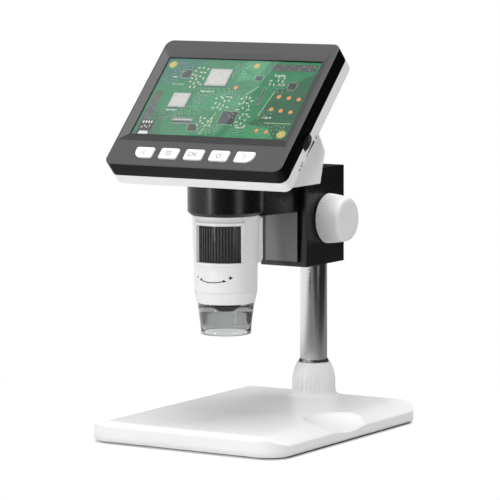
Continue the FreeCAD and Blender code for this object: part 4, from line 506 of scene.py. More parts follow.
def collar_reach(r, z, t):
    # The grooves, and a foot that stops at the base's back edge
    near = min(abs(t - g) for g in GROOVES)
    across = max(0.0, 1 - (near / GROOVE_HALF) ** 2) ** 0.5
    along = min(max(z - GROOVE_LOW, 0.0), 1.0) * min(max(GROOVE_HIGH - z, 0.0), 1.0)
    groove = GROOVE_DEPTH * across * along if r > 11 else 0.0
    back = (HALF_Y - 0.15 - COLLAR[1]) / max(math.sin(t), 0.01)
    return min(r - groove, back)


more, more_faces = lathe(collar_profile, COLLAR, angles=angles, change=collar_reach)
offset = len(points)
points += more
faces += [tuple(i + offset for i in face) for face in more_faces]
settle("base_moulding", points, faces, "stand", "white_plastic", ("base_shell",), sharp=50.0)

# %% [markdown]
# ## The column
#
# The column is a polished chromed tube. A mirror shows every facet, so it is turned with many segments
# instead of keeping the CAD mesh, and its ends are eased.

# %% Column tube
points, faces = lathe([(7.1, 9.0), (7.4, 9.3), (7.4, 30.0), (7.4, 60.0), (7.4, 101.7), (7.1, 102.0),
                       (6.2, 102.0), (6.2, 9.0)], COLLAR, 160)
settle("polished_column", points, faces, "stand", "chrome", ("column_tube",), sharp=40.0)

# %% [markdown]
# ## The lens end
#
# The clear cap under the tube is a thin cone with a thicker rim. Glass-like pieces need both of their
# skins and no doubled faces, so the cap is one closed profile that runs down outside, round the rim and
# up inside.

# %% Clear cap
TUBE = (0.0, -30.0)
cap_profile = [
    (15.0, 73.3), (14.75, 71.5), (14.2, 67.0), (13.65, 62.5), (13.2, 58.6), (13.28, 58.1), (13.3, 57.6),
    (13.3, 57.0), (13.15, 56.7), (12.8, 56.6), (11.95, 56.6), (11.65, 56.75), (11.6, 57.2), (11.75, 58.0),
    (12.0, 59.4), (12.45, 63.5), (12.95, 68.0), (13.35, 71.8), (12.85, 72.6), (12.8, 74.5), (13.6, 74.5),
    (13.6, 73.3)]
points, faces = lathe(cap_profile, TUBE, 144)
settle("clear_cap_turned", points, faces, "carriage", "clear_plastic", ("clear_cap",), sharp=40.0)

# %% [markdown]
# ## Ribbed pieces
#
# The focusing ring and the two side knobs carry many equal ribs. Geometry Nodes are made for this: one
# rib is drawn, and the tree sets it round a circle. The tree is built here with a rib, a count and a
# radius as named inputs, and it ends by turning the copies into real mesh and giving them their finish.

# %% A tree that sets one shape round a circle
def new_tree(name, **sockets):
    tree = bpy.data.node_groups.new(name, "GeometryNodeTree")
    tree.interface.new_socket("Geometry", in_out="OUTPUT", socket_type="NodeSocketGeometry")
    tree.interface.new_socket("Geometry", in_out="INPUT", socket_type="NodeSocketGeometry")
    for socket, kind in sockets.items():
        tree.interface.new_socket(socket, in_out="INPUT", socket_type="NodeSocket" + kind)
    return tree, add(tree, "NodeGroupInput").outputs


def real_copies(tree, given, points, turn):
    # The given shape on every point, turned about the upright line and made real mesh
    shape = add(tree, "GeometryNodeObjectInfo", {"Object": given["Shape"]}).outputs["Geometry"]
    spin = add(tree, "ShaderNodeCombineXYZ", {"Z": turn}).outputs[0]
    copies = add(tree, "GeometryNodeInstanceOnPoints",
                 {"Points": points, "Instance": shape, "Rotation": spin})
    real = add(tree, "GeometryNodeRealizeInstances", {"Geometry": copies.outputs["Instances"]})
    return real.outputs["Geometry"]


def dress_and_end(tree, given, geometry):
    dressed = add(tree, "GeometryNodeSetMaterial", {"Geometry": geometry, "Material": given["Finish"]})
    add(tree, "NodeGroupOutput", {"Geometry": dressed.outputs["Geometry"]})
    return tree


def ring_tree():
    tree, given = new_tree("set_round_a_circle", Shape="Object", Count="Int", Radius="Float", Turn="Float",
                           Finish="Material")
    step = add(tree, "ShaderNodeMath", {0: 2 * math.pi, 1: given["Count"]}, operation="DIVIDE").outputs[0]
    index = add(tree, "GeometryNodeInputIndex").outputs[0]
    angle = add(tree, "ShaderNodeMath", {0: index, 1: step, 2: given["Turn"]},
                operation="MULTIPLY_ADD").outputs[0]
    reach = add(tree, "ShaderNodeCombineXYZ", {"X": given["Radius"]}).outputs[0]
    polar = add(tree, "ShaderNodeVectorRotate", {"Vector": reach, "Angle": angle}, rotation_type="Z_AXIS")
    circle = add(tree, "GeometryNodeMeshCircle", {"Vertices": given["Count"], "Radius": given["Radius"]})
    moved = add(tree, "GeometryNodeSetPosition",
                {"Geometry": circle.outputs["Mesh"], "Position": polar.outputs[0]})
    copies = real_copies(tree, given, moved.outputs["Geometry"], angle)
    join = add(tree, "GeometryNodeJoinGeometry", {"Geometry": copies})
    feed(tree, join, {"Geometry": given["Geometry"]})
    return dress_and_end(tree, given, join.outputs["Geometry"])


round_tree = ring_tree()


def draft(name, points, faces):
    # A throw-away object, in metres, for a tree to use
    mesh = bpy.data.meshes.new(name)
    mesh.from_pydata([tuple(c * MM for c in p) for p in points], [], faces)
    made = bpy.data.objects.new(name, clean(mesh, 1e-7))
    bpy.context.scene.collection.objects.link(made)
    return made


def grown(host, tree, place=LEVEL, **inputs):
    # The mesh that a tree makes on the host, moved to its place. The drafts are thrown away.
    modifier = host.modifiers.new("grow", "NODES")
    modifier.node_group = tree
    for item in tree.interface.items_tree:
        if item.item_type == "SOCKET" and item.in_out == "INPUT" and item.name in inputs:
            modifier[item.identifier] = inputs[item.name]
    host.update_tag()
    bpy.context.view_layer.update()
    seen_by = bpy.context.evaluated_depsgraph_get()
    mesh = bpy.data.meshes.new_from_object(host.evaluated_get(seen_by))
    mesh.transform(Matrix.Scale(MM, 4) @ place @ Matrix.Scale(1 / MM, 4))
    for used in [host] + [o for o in inputs.values() if isinstance(o, bpy.types.Object)]:
        bpy.data.objects.remove(used)
    return mesh


print("tree nodes", len(round_tree.nodes))

# %% [markdown]
# A rib of the focusing ring is a small round-topped bar. Its round top gives the ring the bright and dark
# upright lines that show through the tube's window.

# %% Focusing ring
LOW, HIGH, RIB_EASE, DRUM_R, DRUM_EASE = 94.2, 115.6, 0.3, 15.1, 0.1
rib_section = [(-0.1, -0.62), (0.25, -0.6), (0.5, -0.45), (0.66, -0.2), (0.7, 0.0), (0.66, 0.2),
               (0.5, 0.45), (0.25, 0.6), (-0.1, 0.62)]
rib_heights = (LOW, LOW + RIB_EASE, HIGH - RIB_EASE, HIGH)
rib = draft("rib", *closed_band([[(x, y, z) for x, y in rib_section] for z in rib_heights]))
low_end, high_end = LOW - DRUM_EASE, HIGH + DRUM_EASE
drum = draft("drum", *lathe([(15.08, low_end), (DRUM_R, LOW + DRUM_EASE), (DRUM_R, HIGH - DRUM_EASE),
                             (15.08, high_end), (13.2, high_end), (13.2, low_end)]))
mesh = grown(drum, round_tree, Matrix.Translation((*TUBE, 0)), Shape=rib, Count=60, Radius=DRUM_R * MM,
             Turn=0.0, Finish=paint["grey_plastic"])
put("focusing_ring_ribbed", mesh, "focusing_ring", "grey_plastic", ("focus_ring",), sharp=50.0)

# %% [markdown]
# The side knobs narrow towards their smooth round end, and their ribs sink into the cone on the way. So a
# knob's rib leans: it stands out near the block and meets the cone near the end.

# %% Side knobs
KNOB_R, KNOB_TAPER, KNOB_FOOT = 13.0, 0.0925, 0.6
SHAFT_Y, SHAFT_Z, KNOB_START_X = 49.6, 111.4, 14.9


def knob_mesh(side):
    profile = [(2.6, 0.0), (12.6, 0.0), (12.95, 0.2), (KNOB_R, KNOB_FOOT), (12.55, 6.0), (12.1, 10.4),
               (11.95, 11.6), (11.75, 12.4), (11.2, 13.0), (10.3, 13.3), (9.0, 13.42), (6.0, 13.3),
               (3.0, 13.2), (0.05, 13.18), (0.05, 10.0), (2.55, 10.0)]
    core = draft("knob_core", *lathe(profile, segments=128))
    sections = []
    for z, stand in ((0.35, 0.0), (0.75, 0.62), (3.5, 0.6), (7.0, 0.48), (9.5, 0.3), (11.2, 0.1),
                     (11.9, -0.06)):
        body_r = KNOB_R - (z - KNOB_FOOT) * KNOB_TAPER
        half = [(-0.3, 0.4), (stand * 0.7, 0.33), (stand, 0.14)]
        outline = [(x, -y) for x, y in half] + half[::-1]
        sections.append([(body_r + x, y, z) for x, y in outline])
    ridge = draft("knob_rib", *closed_band(sections))
    lie = Matrix.Translation((side * KNOB_START_X, SHAFT_Y, SHAFT_Z))
    lie = lie @ Matrix.Rotation(side * math.radians(90), 4, "Y")
    return grown(core, round_tree, lie, Shape=ridge, Count=72, Radius=0.0, Turn=0.0,
                 Finish=paint["knob_plastic"])


for node, side in (("knob_right", 1), ("knob_left", -1)):
    put(node + "_ribbed", knob_mesh(side), "focus_drive", "knob_plastic", (node,), sharp=50.0)

# %% [markdown]
# ## The lamps
#
# Eight square white lamps sit in a ring on the lamp board. Each has a pale case, a sunk window filled
# with yellow phosphor and two solder ends, and the solder ends are left out here. Only one is drawn, with
# two finishes told apart by a face colour, and the same tree sets eight of them round the lens.

# %% Lamp finish
def two_tone(name, low, high, rough_low, rough_high, glow):
    # Two finishes in one, told apart by the tone that is stored on the faces
    material, tree, shader = node_material(name)
    mark = add(tree, "ShaderNodeAttribute", attribute_name="tone").outputs["Fac"]
    plain = two_colours(tree, mark, low + (1,), high + (1,))
    speckled = two_colours(tree, 0.25, plain, spread(tree, noise(tree, 0.5), 0.7, 1.0), "MULTIPLY")
    gloss = add(tree, "ShaderNodeMapRange", {"Value": mark, "To Min": rough_low, "To Max": rough_high})
    feed(tree, shader, {"Base Color": speckled, "Roughness": gloss.outputs["Result"],
                        "Emission Color": speckled, "Emission Strength": glow})
    return material


def tone_faces(mesh, tones):
    layer = mesh.attributes.new("tone", "FLOAT", "FACE")
    layer.data.foreach_set("value", tones)


paint["lamp"] = two_tone("lamp", (0.82, 0.83, 0.8), (0.86, 0.84, 0.42), 0.35, 0.6, 0.35)

# %% Eight lamps round the lens
half, low, top = 1.85, 74.5, 75.4
loops = [(half, top), (half, low + 0.12), (half - 0.12, low), (half - 0.42, low), (half - 0.52, low + 0.1)]
lamp = draft("lamp", *closed_band([rounded_outline(-r, r, -r, r, (0.25,) * 4, z, 2) for r, z in loops]))
many_sided = [face for face in lamp.data.polygons if len(face.vertices) > 4]
window = min(many_sided, key=lambda face: abs(face.center.z - (low + 0.1) * MM))
tone_faces(lamp.data, [1.0 if face.index == window.index else 0.0 for face in lamp.data.polygons])
holder = draft("holder", [(0, 0, top), (0.01, 0, top), (0, 0.01, top)], [(0, 1, 2)])
tone_faces(holder.data, [0.0])
mesh = grown(holder, round_tree, Matrix.Translation((*TUBE, 0)), Shape=lamp, Count=8, Radius=10.9 * MM,
             Turn=math.radians(22.5), Finish=paint["lamp"])
put("lamps", mesh, "carriage", "lamp", ("leds",), sharp=30.0)

# %% [markdown]
# A window's light lies over the left part of the screen. It is the mirror image of something bright up on
# the left, so a glowing card is put exactly there: each corner wanted on the screen is sent out along the
# mirrored line of sight. Only mirror-like surfaces see the card, so that it lights nothing.

# %% Glare card
OUTWARD = (SCREEN.to_3x3() @ Vector((0, 0, 1))).normalized()
CARD_STRENGTH, CARD_AWAY = 1.0, 1500.0
CARD_ON_SCREEN = ((-62, 36), (24.5, 36), (5.5, -24), (-62, -32))


def mirrored_out(u, v):
    on_screen = SCREEN @ Vector((u, v, 0))
    sight = (on_screen - EYE).normalized()
    return (on_screen + (sight - 2 * sight.dot(OUTWARD) * OUTWARD) * CARD_AWAY) * MM


card_mesh = bpy.data.meshes.new("glare_card")
card_mesh.from_pydata([mirrored_out(*corner) for corner in CARD_ON_SCREEN], [], [(0, 1, 2, 3)])
card = bpy.data.objects.new("glare_card", card_mesh)
bpy.context.scene.collection.objects.link(card)
card_paint, card_tree = node_material("glare_card")[:2]
card_glow = add(card_tree, "ShaderNodeEmission", {"Strength": CARD_STRENGTH}).outputs[0]
feed(card_tree, card_tree.nodes["Material Output"], {"Surface": card_glow})
card_mesh.materials.append(card_paint)
card.visible_camera = False
card.visible_diffuse = False
card.visible_shadow = False
card.visible_transmission = False
print("card at", [round(c, 2) for c in mirrored_out(0, 0)])

# %% [markdown]
# ## The buttons
#
# Five light buttons stand a little out of the bezel's lower band. Each is a plate with a softly crowned
# top and rounded edges, and the first and the last have one large corner that follows the housing's
# corner. A Subdivision Surface could round a simple block, but rings of outlines keep the corners exactly
# as wide as the holes in the bezel.

# %% Buttons
BUTTONS = ("button_back", "button_menu", "button_ok", "button_power", "button_next")
PITCH, BUTTON_V, BUTTON_TOP = 15.4, -41.5, 2.9
BUTTON_HALF_U, BUTTON_HALF_V, SMALL_CORNER, LARGE_CORNER = 5.7, 3.6, 1.3, 4.6


def button(index):
    middle = (index - 2) * PITCH
    radii = [SMALL_CORNER] * 4
    if index in (0, 4):
        radii[0 if index == 0 else 1] = LARGE_CORNER
    rings_ = []
    for grow, height in ((1.1, -0.5), (1.1, 0.1), (0.0, 0.1), (0.0, 1.0), (0.0, 2.2), (-0.08, 2.5),
                         (-0.25, 2.7), (-0.5, 2.8), (-0.9, 2.86), (-1.6, BUTTON_TOP)):
        half_u, half_v = BUTTON_HALF_U + grow, BUTTON_HALF_V + grow
        rings_.append(rounded_outline(middle - half_u, middle + half_u, BUTTON_V - half_v, BUTTON_V + half_v,
                                      [max(r + grow, 0.35) for r in radii], height))
    return closed_band(rings_)


def rider(name):
    return name.replace("button_", "") + "_button"


for index, name in enumerate(BUTTONS):
    points, faces = button(index)
    settle(name + "_cap", points, faces, rider(name), "button_plastic", (name,), place=SCREEN, sharp=40.0)

# %% [markdown]
# ## The marks
#
# The buttons carry the usual printed signs: back, a list, OK, power and next. Printing is a thin film, so
# each sign is a flat strip 0.03 mm above the surface it is printed on. Strips are drawn from short lines
# with a width, which is enough for signs this small.

# %% Printed ink
INK_UP = 0.03
for name, colour in (("grey_ink", (0.16, 0.16, 0.17)), ("black_ink", (0.02, 0.02, 0.02))):
    paint[name] = finish(name, colour, 0.5, 0.15, 0.2, 0.15, 0.1)


def strip(points_, faces_, line, width, height, closed_line=False):
    # A flat band of the given width along a line of (x, y) points
    left_side, right_side = [], []
    count_ = len(line)
    for k in range(count_):
        before = line[(k - 1) % count_] if closed_line or k else line[k]
        after = line[(k + 1) % count_] if closed_line or k < count_ - 1 else line[k]
        along = (Vector(after) - Vector(before)).normalized()
        side_ = Vector((-along.y, along.x)) * width / 2
        left_side.append((line[k][0] + side_.x, line[k][1] + side_.y, height))
        right_side.append((line[k][0] - side_.x, line[k][1] - side_.y, height))
    start = len(points_)
    points_ += left_side + right_side
    for k in range(count_ if closed_line else count_ - 1):
        after = (k + 1) % count_
        faces_.append((start + k, start + after, start + count_ + after, start + count_ + k))


def arc_line(x, y, r, start, end, steps=12):
    turns = [math.radians(start + (end - start) * k / steps) for k in range(steps + 1)]
    return [(x + r * math.cos(t), y + r * math.sin(t)) for t in turns]


def sign(index):
    x, y, z = (index - 2) * PITCH, BUTTON_V, BUTTON_TOP + INK_UP
    points_, faces_ = [], []
    if index in (0, 4):
        way = -1 if index == 0 else 1
        hook = [(x - way * 0.8, y + 1.5), (x + way * 0.8, y), (x - way * 0.8, y - 1.5)]
        strip(points_, faces_, hook, 0.42, z)
    elif index == 1:
        for k in (-1, 0, 1):
            strip(points_, faces_, [(x - 2.0, y + k * 1.05), (x + 2.0, y + k * 1.05)], 0.4, z)
    elif index == 2:
        strip(points_, faces_, arc_line(x - 1.7, y, 1.3, 0, 342, 20), 0.42, z, True)
        strip(points_, faces_, [(x + 0.4, y + 1.5), (x + 0.4, y - 1.5)], 0.42, z)
        strip(points_, faces_, [(x + 2.3, y + 1.5), (x + 0.7, y), (x + 2.4, y - 1.5)], 0.42, z)
    else:
        strip(points_, faces_, arc_line(x, y - 0.2, 1.35, 125, 415, 18), 0.42, z)
        strip(points_, faces_, [(x, y + 1.8), (x, y + 0.1)], 0.42, z)
    return points_, faces_


for index, name in enumerate(BUTTONS):
    points, faces = sign(index)
    settle(name + "_sign", points, faces, rider(name), "button_plastic", material=paint["grey_ink"],
           place=SCREEN)

# %% [markdown]
# ## The housing
#
# The bezel, the shell, the tube, the arm and the block have the right shape as they come from the CAD
# model, so copies of their meshes are merged and shaded smooth, and drawing them again would bring
# nothing new. The bezel's front is a dull dark grey and its outer sides are a deeper, glossier black. Light
# and shade are painted into the colour as well: each face gets a tone by the way it faces, the four
# slopes round the screen are painted lighter or darker side by side, and the fronts of the plate below the
# arm and of the block are painted lighter. The finish goes by this tone.

# %% Housing, tube and arm, with painted light and shade in their tones
def merged_copy(node, name):
    mesh = nodes[node].data.copy()
    mesh.name = name
    mesh.transform(nodes[node].matrix_world)
    mesh.materials.clear()
    return clean(mesh, 0.002 * MM)


def painted_light_finish(name, low, high, rough_low, rough_high, edge_mm=0.3, shine=0.35):
    # A finish whose colour and gloss follow the tone stored on the faces, with painted light in its second
    # colour
    material = finish(name, low, rough_low, 0.3, 0.12, 0.03, 0.02, edge_mm=edge_mm, shine=shine)
    tree = material.node_tree
    shader = tree.nodes["Principled BSDF"]
    mark = add(tree, "ShaderNodeAttribute", attribute_name="tone").outputs["Fac"]
    colour, rough = (shader.inputs[fed].links[0].from_socket for fed in ("Base Color", "Roughness"))
    gloss = add(tree, "ShaderNodeMix", {"Factor": mark, "A": rough, "B": rough_high}, data_type="FLOAT")
    feed(tree, shader, {"Base Color": two_colours(tree, mark, colour, high + (1,)),
                        "Roughness": gloss.outputs["Result"]})
    return material


# The bezel's second colour is painted light and shade, laid by face direction on its front and the slopes
# round the screen
paint["bezel"] = painted_light_finish("bezel", (0.002, 0.002, 0.0021), (0.12, 0.12, 0.123), 0.3, 0.42, shine=0.12)
# The arm's second colour is painted light, which lightens the front faces of the plate below the arm and of
# the block
paint["arm_black_and_painted_light"] = painted_light_finish("arm_black_and_painted_light", (0.004, 0.004, 0.0043), (0.2, 0.2, 0.203), 0.28, 0.5,
                                edge_mm=0.5, shine=0.55)
TO_SCREEN = SCREEN_TURN.to_3x3().inverted()


def bezel_painted_light(face):
    # Painted light and shade by face direction: the flat face and the outer sides keep their own shades,
    # and the slopes round the screen are painted lighter facing right or down, darker facing left or up
    across, up_, out = TO_SCREEN @ face.normal
    if out > 0.97:
        return 0.62
    if out < 0.3:
        return 0.0
    if abs(across) > abs(up_):
        return 0.9 if across > 0 else 0.5
    return 0.33 if up_ > 0 else 0.66


def arm_painted_light(face):
    # Painted light: the fronts of the plate below the arm and of the block beside it are painted lighter,
    # the plate more than the block, where the light from the front falls on them
    front = face.normal.y < -0.95 and face.center.z < 117 * MM
    return 0.9 if front and face.center.y < 27 * MM else 0.15 if front else 0.0


for node, name, slot_name, painted_light_of, material in (
        ("front_bezel", "bezel_two_shades", "black_plastic", bezel_painted_light, "bezel"),
        ("rear_shell", "white_shell", "white_plastic", None, "white_plastic"),
        ("lens_tube", "white_tube", "white_plastic", None, "white_plastic"),
        ("carriage_arm", "black_arm", "black_metal", arm_painted_light, "arm_black_and_painted_light"),
        ("head_block", "black_block", "black_metal", arm_painted_light, "arm_black_and_painted_light")):
    mesh = merged_copy(node, name)
    if painted_light_of:
        tone_faces(mesh, [painted_light_of(face) for face in mesh.polygons])
    mesh.materials.append(paint[material])
    put(name, mesh, "stand" if node == "head_block" else "carriage", slot_name, (node,), sharp=14.0)
nodes["column_seal"].data.materials.clear()
nodes["column_seal"].data.materials.append(paint["steel"])

# %% [markdown]
# The tube carries a curved double arrow with a minus and a plus for the focus, and the side of the shell
# carries the dimmer's signs: a small sun and a bar that narrows downwards. They are printed, so they are
# thin dark shapes just over the surface. The ones on the tube are bent round it.

# %% Signs on the tube
SIGN_R, SIGN_TURN, SIGN_Z, HOUSING_SHIFT, HOUSING_HALF = 16.74, math.radians(6), 85.6, 1.0, 54.0


def wrapped(points_):
    # A flat drawing (across, up) laid round the tube, its middle turned from the front towards the right
    out = []
    for x, y, z in points_:
        turn = SIGN_TURN + x / SIGN_R
        reach = SIGN_R + z
        out.append((TUBE[0] + reach * math.sin(turn), TUBE[1] - reach * math.cos(turn), SIGN_Z + y))
    return out


points, faces = [], []
arrow = [(-7.6 + 0.76 * k, -1.1 * math.cos(math.pi * (k - 10) / 20.0) + 0.7) for k in range(20)]
strip(points, faces, arrow, 0.5, 0.0)
for tip, height, way in ((-8.0, 1.0, -1), (8.1, 0.55, 1)):
    start = len(points)
    points += [(tip, height, 0.0), (tip - way * 2.1, height + 0.75, 0.0),
               (tip - way * 1.7, height - 0.85, 0.0)]
    faces.append((start, start + 1, start + 2))
strip(points, faces, [(-10.6, 1.9), (-9.0, 1.9)], 0.5, 0.0)
for bar in ([(9.2, 2.2), (11.2, 2.2)], [(10.2, 3.1), (10.2, 1.3)]):
    strip(points, faces, bar, 0.75, 0.0)
settle("focus_sign", wrapped(points), faces, "carriage", "white_plastic", material=paint["black_ink"])

# %% Signs on the side of the housing
side_axes = Matrix(((0, 0, 1, HOUSING_SHIFT + HOUSING_HALF), (1, 0, 0, 0), (0, 1, 0, 0), (0, 0, 0, 1)))
SIDE = SCREEN @ side_axes
SUN_V, SUN_N = -13.3, -12.9
bar = [(-16.0, -11.9), (-16.0, -13.5), (-26.9, -12.85), (-26.9, -12.5)]
points = [(v, depth, INK_UP) for v, depth in bar]
faces = [(0, 1, 2, 3)]


def round_sun(reach, turn):
    return SUN_V + reach * math.cos(turn), SUN_N + reach * math.sin(turn)


start = len(points)
points += [(*round_sun(0.55, k * math.pi / 6), INK_UP) for k in range(12)]
faces.append(tuple(range(start, start + 12)))
for k in range(8):
    strip(points, faces, [round_sun(0.8, k * math.pi / 4), round_sun(1.25, k * math.pi / 4)], 0.22, INK_UP)
for v, depth, length in ((-31.8, -11.9, 1.2), (-33.2, -12.7, 1.4), (-33.8, -11.6, 0.8), (-35.6, -12.6, 1.4),
                         (-36.6, -12.0, 0.7)):
    strip(points, faces, [(v - length / 2, depth), (v + length / 2, depth)], 0.75, INK_UP)
settle("dimmer_sign", points, faces, "carriage", "white_plastic", material=paint["black_ink"], place=SIDE)

# %% [markdown]
# ## The screen module
#
# Behind the cover glass lies the screen with a thin black border. The screen is lit from behind and shows
# a green circuit board. A picture file could be shown there, but a drawn picture stays sharp and is the
# builder's own: flat coloured shapes at slightly different depths, all in one mesh, with the colour of
# each shape stored on its faces. Its finish glows a little, as a screen does.

# %% A sheet of coloured flat shapes
LIT_W, LIT_H = 47.52, 26.93


class Sheet:
    # Flat coloured shapes in the screen's plane, each on its own shallow layer

    def __init__(self, low, high):
        self.points, self.faces, self.colours = [], [], []
        self.low, self.high = low, high

    def shape(self, outline, colour, layer):
        first = len(self.points)
        height = self.low + (self.high - self.low) * layer / 10.0
        self.points += [(x, y, height) for x, y in outline]
        self.faces.append(tuple(range(first, first + len(outline))))
        self.colours.append(colour)

    def box(self, x, y, w, h, colour, layer, turn=0.0):
        c, s = math.cos(turn), math.sin(turn)
        corners = ((-w / 2, -h / 2), (w / 2, -h / 2), (w / 2, h / 2), (-w / 2, h / 2))
        self.shape([(x + a * c - b * s, y + a * s + b * c) for a, b in corners], colour, layer)

    def spot(self, x, y, r, colour, layer, steps=14):
        self.shape([(x + r * math.cos(2 * math.pi * k / steps), y + r * math.sin(2 * math.pi * k / steps))
                    for k in range(steps)], colour, layer)

    def line(self, route, width, colour, layer):
        for (x0, y0), (x1, y1) in zip(route, route[1:]):
            along = Vector((x1 - x0, y1 - y0))
            self.box((x0 + x1) / 2, (y0 + y1) / 2, along.length + width * 0.8, width, colour, layer,
                     math.atan2(along.y, along.x))


GREEN, DEEP = (0.008, 0.19, 0.075), (0.004, 0.10, 0.036)
TEAL, TRACK = (0.008, 0.15, 0.10), (0.022, 0.265, 0.12)
SILVER, SILVER_EDGE, SILVER_TOP = (0.5, 0.5, 0.49), (0.36, 0.37, 0.36), (0.56, 0.555, 0.54)
DARK, CHIP, GREY = (0.006, 0.007, 0.007), (0.014, 0.016, 0.02), (0.2, 0.22, 0.21)
PAD, GOLD, TAN, WHITE = (0.75, 0.27, 0.06), (0.55, 0.42, 0.10), (0.6, 0.5, 0.3), (0.75, 0.82, 0.76)
HEADER, HEADER_CELL = (0.05, 0.055, 0.055), (0.10, 0.11, 0.11)
HOLE, PIN, LEG = (0.02, 0.02, 0.02), (0.3, 0.3, 0.28), (0.35, 0.4, 0.36)
PALE_LINE, UNDER_SHIELD, PAD_RING = (0.55, 0.7, 0.42), (0.01, 0.10, 0.05), (0.01, 0.10, 0.04)
picture = Sheet(-1.16, -0.92)
picture.box(0, 0, 2 * LIT_W, 2 * LIT_H, GREEN, 0)
print("picture size in mm", 2 * LIT_W, "x", 2 * LIT_H)

# %% [markdown]
# The circuit board in the picture has the usual things of such a board: broad copper areas in darker and
# lighter green, bundles of fine tracks, one long pin header, two shielded chips, black chips with legs,
# round solder pads, and swarms of tiny parts. The layout is a made-up one.

# %% Copper areas and tracks of the pictured board
picture.shape([(47.5, 20), (47.5, -27), (12, -27), (24, -12), (27, 6)], DEEP, 1)
picture.shape([(30, -2), (47.5, 3), (47.5, -14), (25, -14)], (0.004, 0.09, 0.035), 1.1)
picture.shape([(14, -16), (34, -19), (40, -27), (8, -27)], (0.02, 0.25, 0.09), 1.2)
picture.shape([(-47.5, 27), (-24, 27), (-29, 12), (-47.5, 8)], TEAL, 1)
picture.shape([(-22, 2), (6, 5), (12, -4), (0, -9), (-18, -8)], (0.016, 0.235, 0.11), 1)
picture.shape([(2, 27), (16, 27), (12, 14), (0, 12)], (0.03, 0.28, 0.13), 1)
picture.shape([(-47.5, -8), (-34, -12), (-30, -27), (-47.5, -27)], (0.008, 0.14, 0.055), 1)
for start_x, start_y, count, step, run, turn in ((-24, 18, 9, 0.75, 11, -0.9), (-6, -4, 9, 0.8, 14, -0.45),
                                                 (14, 8, 9, 0.7, 9, 0.9), (-44, -2, 8, 0.8, 8, 1.1),
                                                 (-16, -10, 9, 0.7, 9, -1.3), (22, 14, 8, 0.8, 12, 0.5),
                                                 (2, 18, 8, 0.7, 9, -0.2), (-34, 6, 7, 0.8, 9, -0.6)):
    for k in range(count):
        x, y = start_x + k * step, start_y - k * step * 0.25
        bend = (x + run * 0.4, y)
        end = (bend[0] + run * 0.6 * math.cos(turn), bend[1] + run * 0.6 * math.sin(turn))
        picture.line([(x, y + 2.5), bend, end], 0.22, TRACK if k % 3 else DEEP, 2 + 0.1 * (k % 3))
for x0, y0, x1, y1 in ((27, 6, 24, -11), (30, -15.5, 46, -15.5), (-2, -10, -6, -25), (-38, 9, -31, 9),
                       (10, 3, 16, 9)):
    picture.line([(x0, y0), (x1, y1)], 0.3, PALE_LINE, 3)
print("shapes", len(picture.faces))

# %% The pin header and the shielded chips
PIN_PITCH = 2.14


def pin_rows(x0, y0, count_, upright):
    # Two rows of pins in a dark strip, lying or upright
    length = count_ * PIN_PITCH + 1.2
    middle = (x0, y0 - length / 2) if upright else (x0 + length / 2, y0)
    picture.box(*middle, *((4.6, length) if upright else (length, 4.6)), HEADER, 4)
    for k in range(count_):
        for side in (-1, 1):
            along_, across_ = 1.6 + k * PIN_PITCH, side * 1.08
            x, y = (x0 + across_, y0 - along_) if upright else (x0 + along_, y0 + across_)
            picture.box(x, y, 1.5, 1.55, HEADER_CELL, 5)
            picture.box(x + 0.15, y + 0.1, 0.62, 0.62, HOLE if (k + side) % 3 else PIN, 6)


pin_rows(18.5, 22.6, 12, False)
pin_rows(-43.2, 3.5, 9, True)


def shielded(x, y, w, h):
    picture.box(x + 0.5, y - 0.6, w + 0.8, h + 0.8, UNDER_SHIELD, 3.2)
    picture.box(x, y, w, h, SILVER_EDGE, 4.2)
    picture.box(x - 0.12, y + 0.12, w - 0.9, h - 0.9, SILVER, 5.2)
    picture.box(x - 0.12, y + 0.12, w - 2.6, h - 2.6, SILVER_TOP, 6.2)
    picture.spot(x - w / 2 + 2.2, y + h / 2 - 2.2, 0.35, GREY, 7.2)


shielded(-11.5, 14.6, 13.5, 12.0)
shielded(-28.5, -2.0, 11.0, 10.0)


def legged_chip(x, y, w, h, legs):
    for k in range(legs):
        at = (k + 0.5) / legs - 0.5
        for a, b, c, d in ((x + at * w, y + h / 2 + 0.4, 0.28, 0.9),
                           (x + at * w, y - h / 2 - 0.4, 0.28, 0.9),
                           (x + w / 2 + 0.4, y + at * h, 0.9, 0.28),
                           (x - w / 2 - 0.4, y + at * h, 0.9, 0.28)):
            picture.box(a, b, c, d, LEG, 4.1)
    picture.box(x, y, w, h, CHIP, 5.1)
    picture.box(x - 0.1, y + 0.1, w - 0.8, h - 0.8, tuple(c * 1.6 for c in CHIP), 6.1)
    picture.spot(x - w / 2 + 1.1, y - h / 2 + 1.1, 0.3, (0.12, 0.12, 0.12), 7.1)


for x, y, w, h, legs in ((6.5, -13.0, 9.4, 8.6, 9), (-32.0, 16.4, 5.2, 5.0, 6), (13.6, 14.8, 4.2, 3.0, 4),
                         (-12.0, -20.6, 5.4, 4.4, 5), (36.0, 10.0, 4.4, 4.4, 5)):
    legged_chip(x, y, w, h, legs)
picture.box(20.5, 2.5, 1.6, 12, GREY, 4.3)
picture.box(20.5, 2.5, 0.7, 11, DARK, 5.3)
picture.box(-20.6, -16.2, 13, 4.6, (0.16, 0.19, 0.18), 4.3)
picture.box(-20.6, -15.4, 12, 0.8, (0.5, 0.52, 0.5), 5.3)
picture.box(-20.6, -17.0, 12, 0.8, DARK, 5.35)
print("shapes", len(picture.faces))

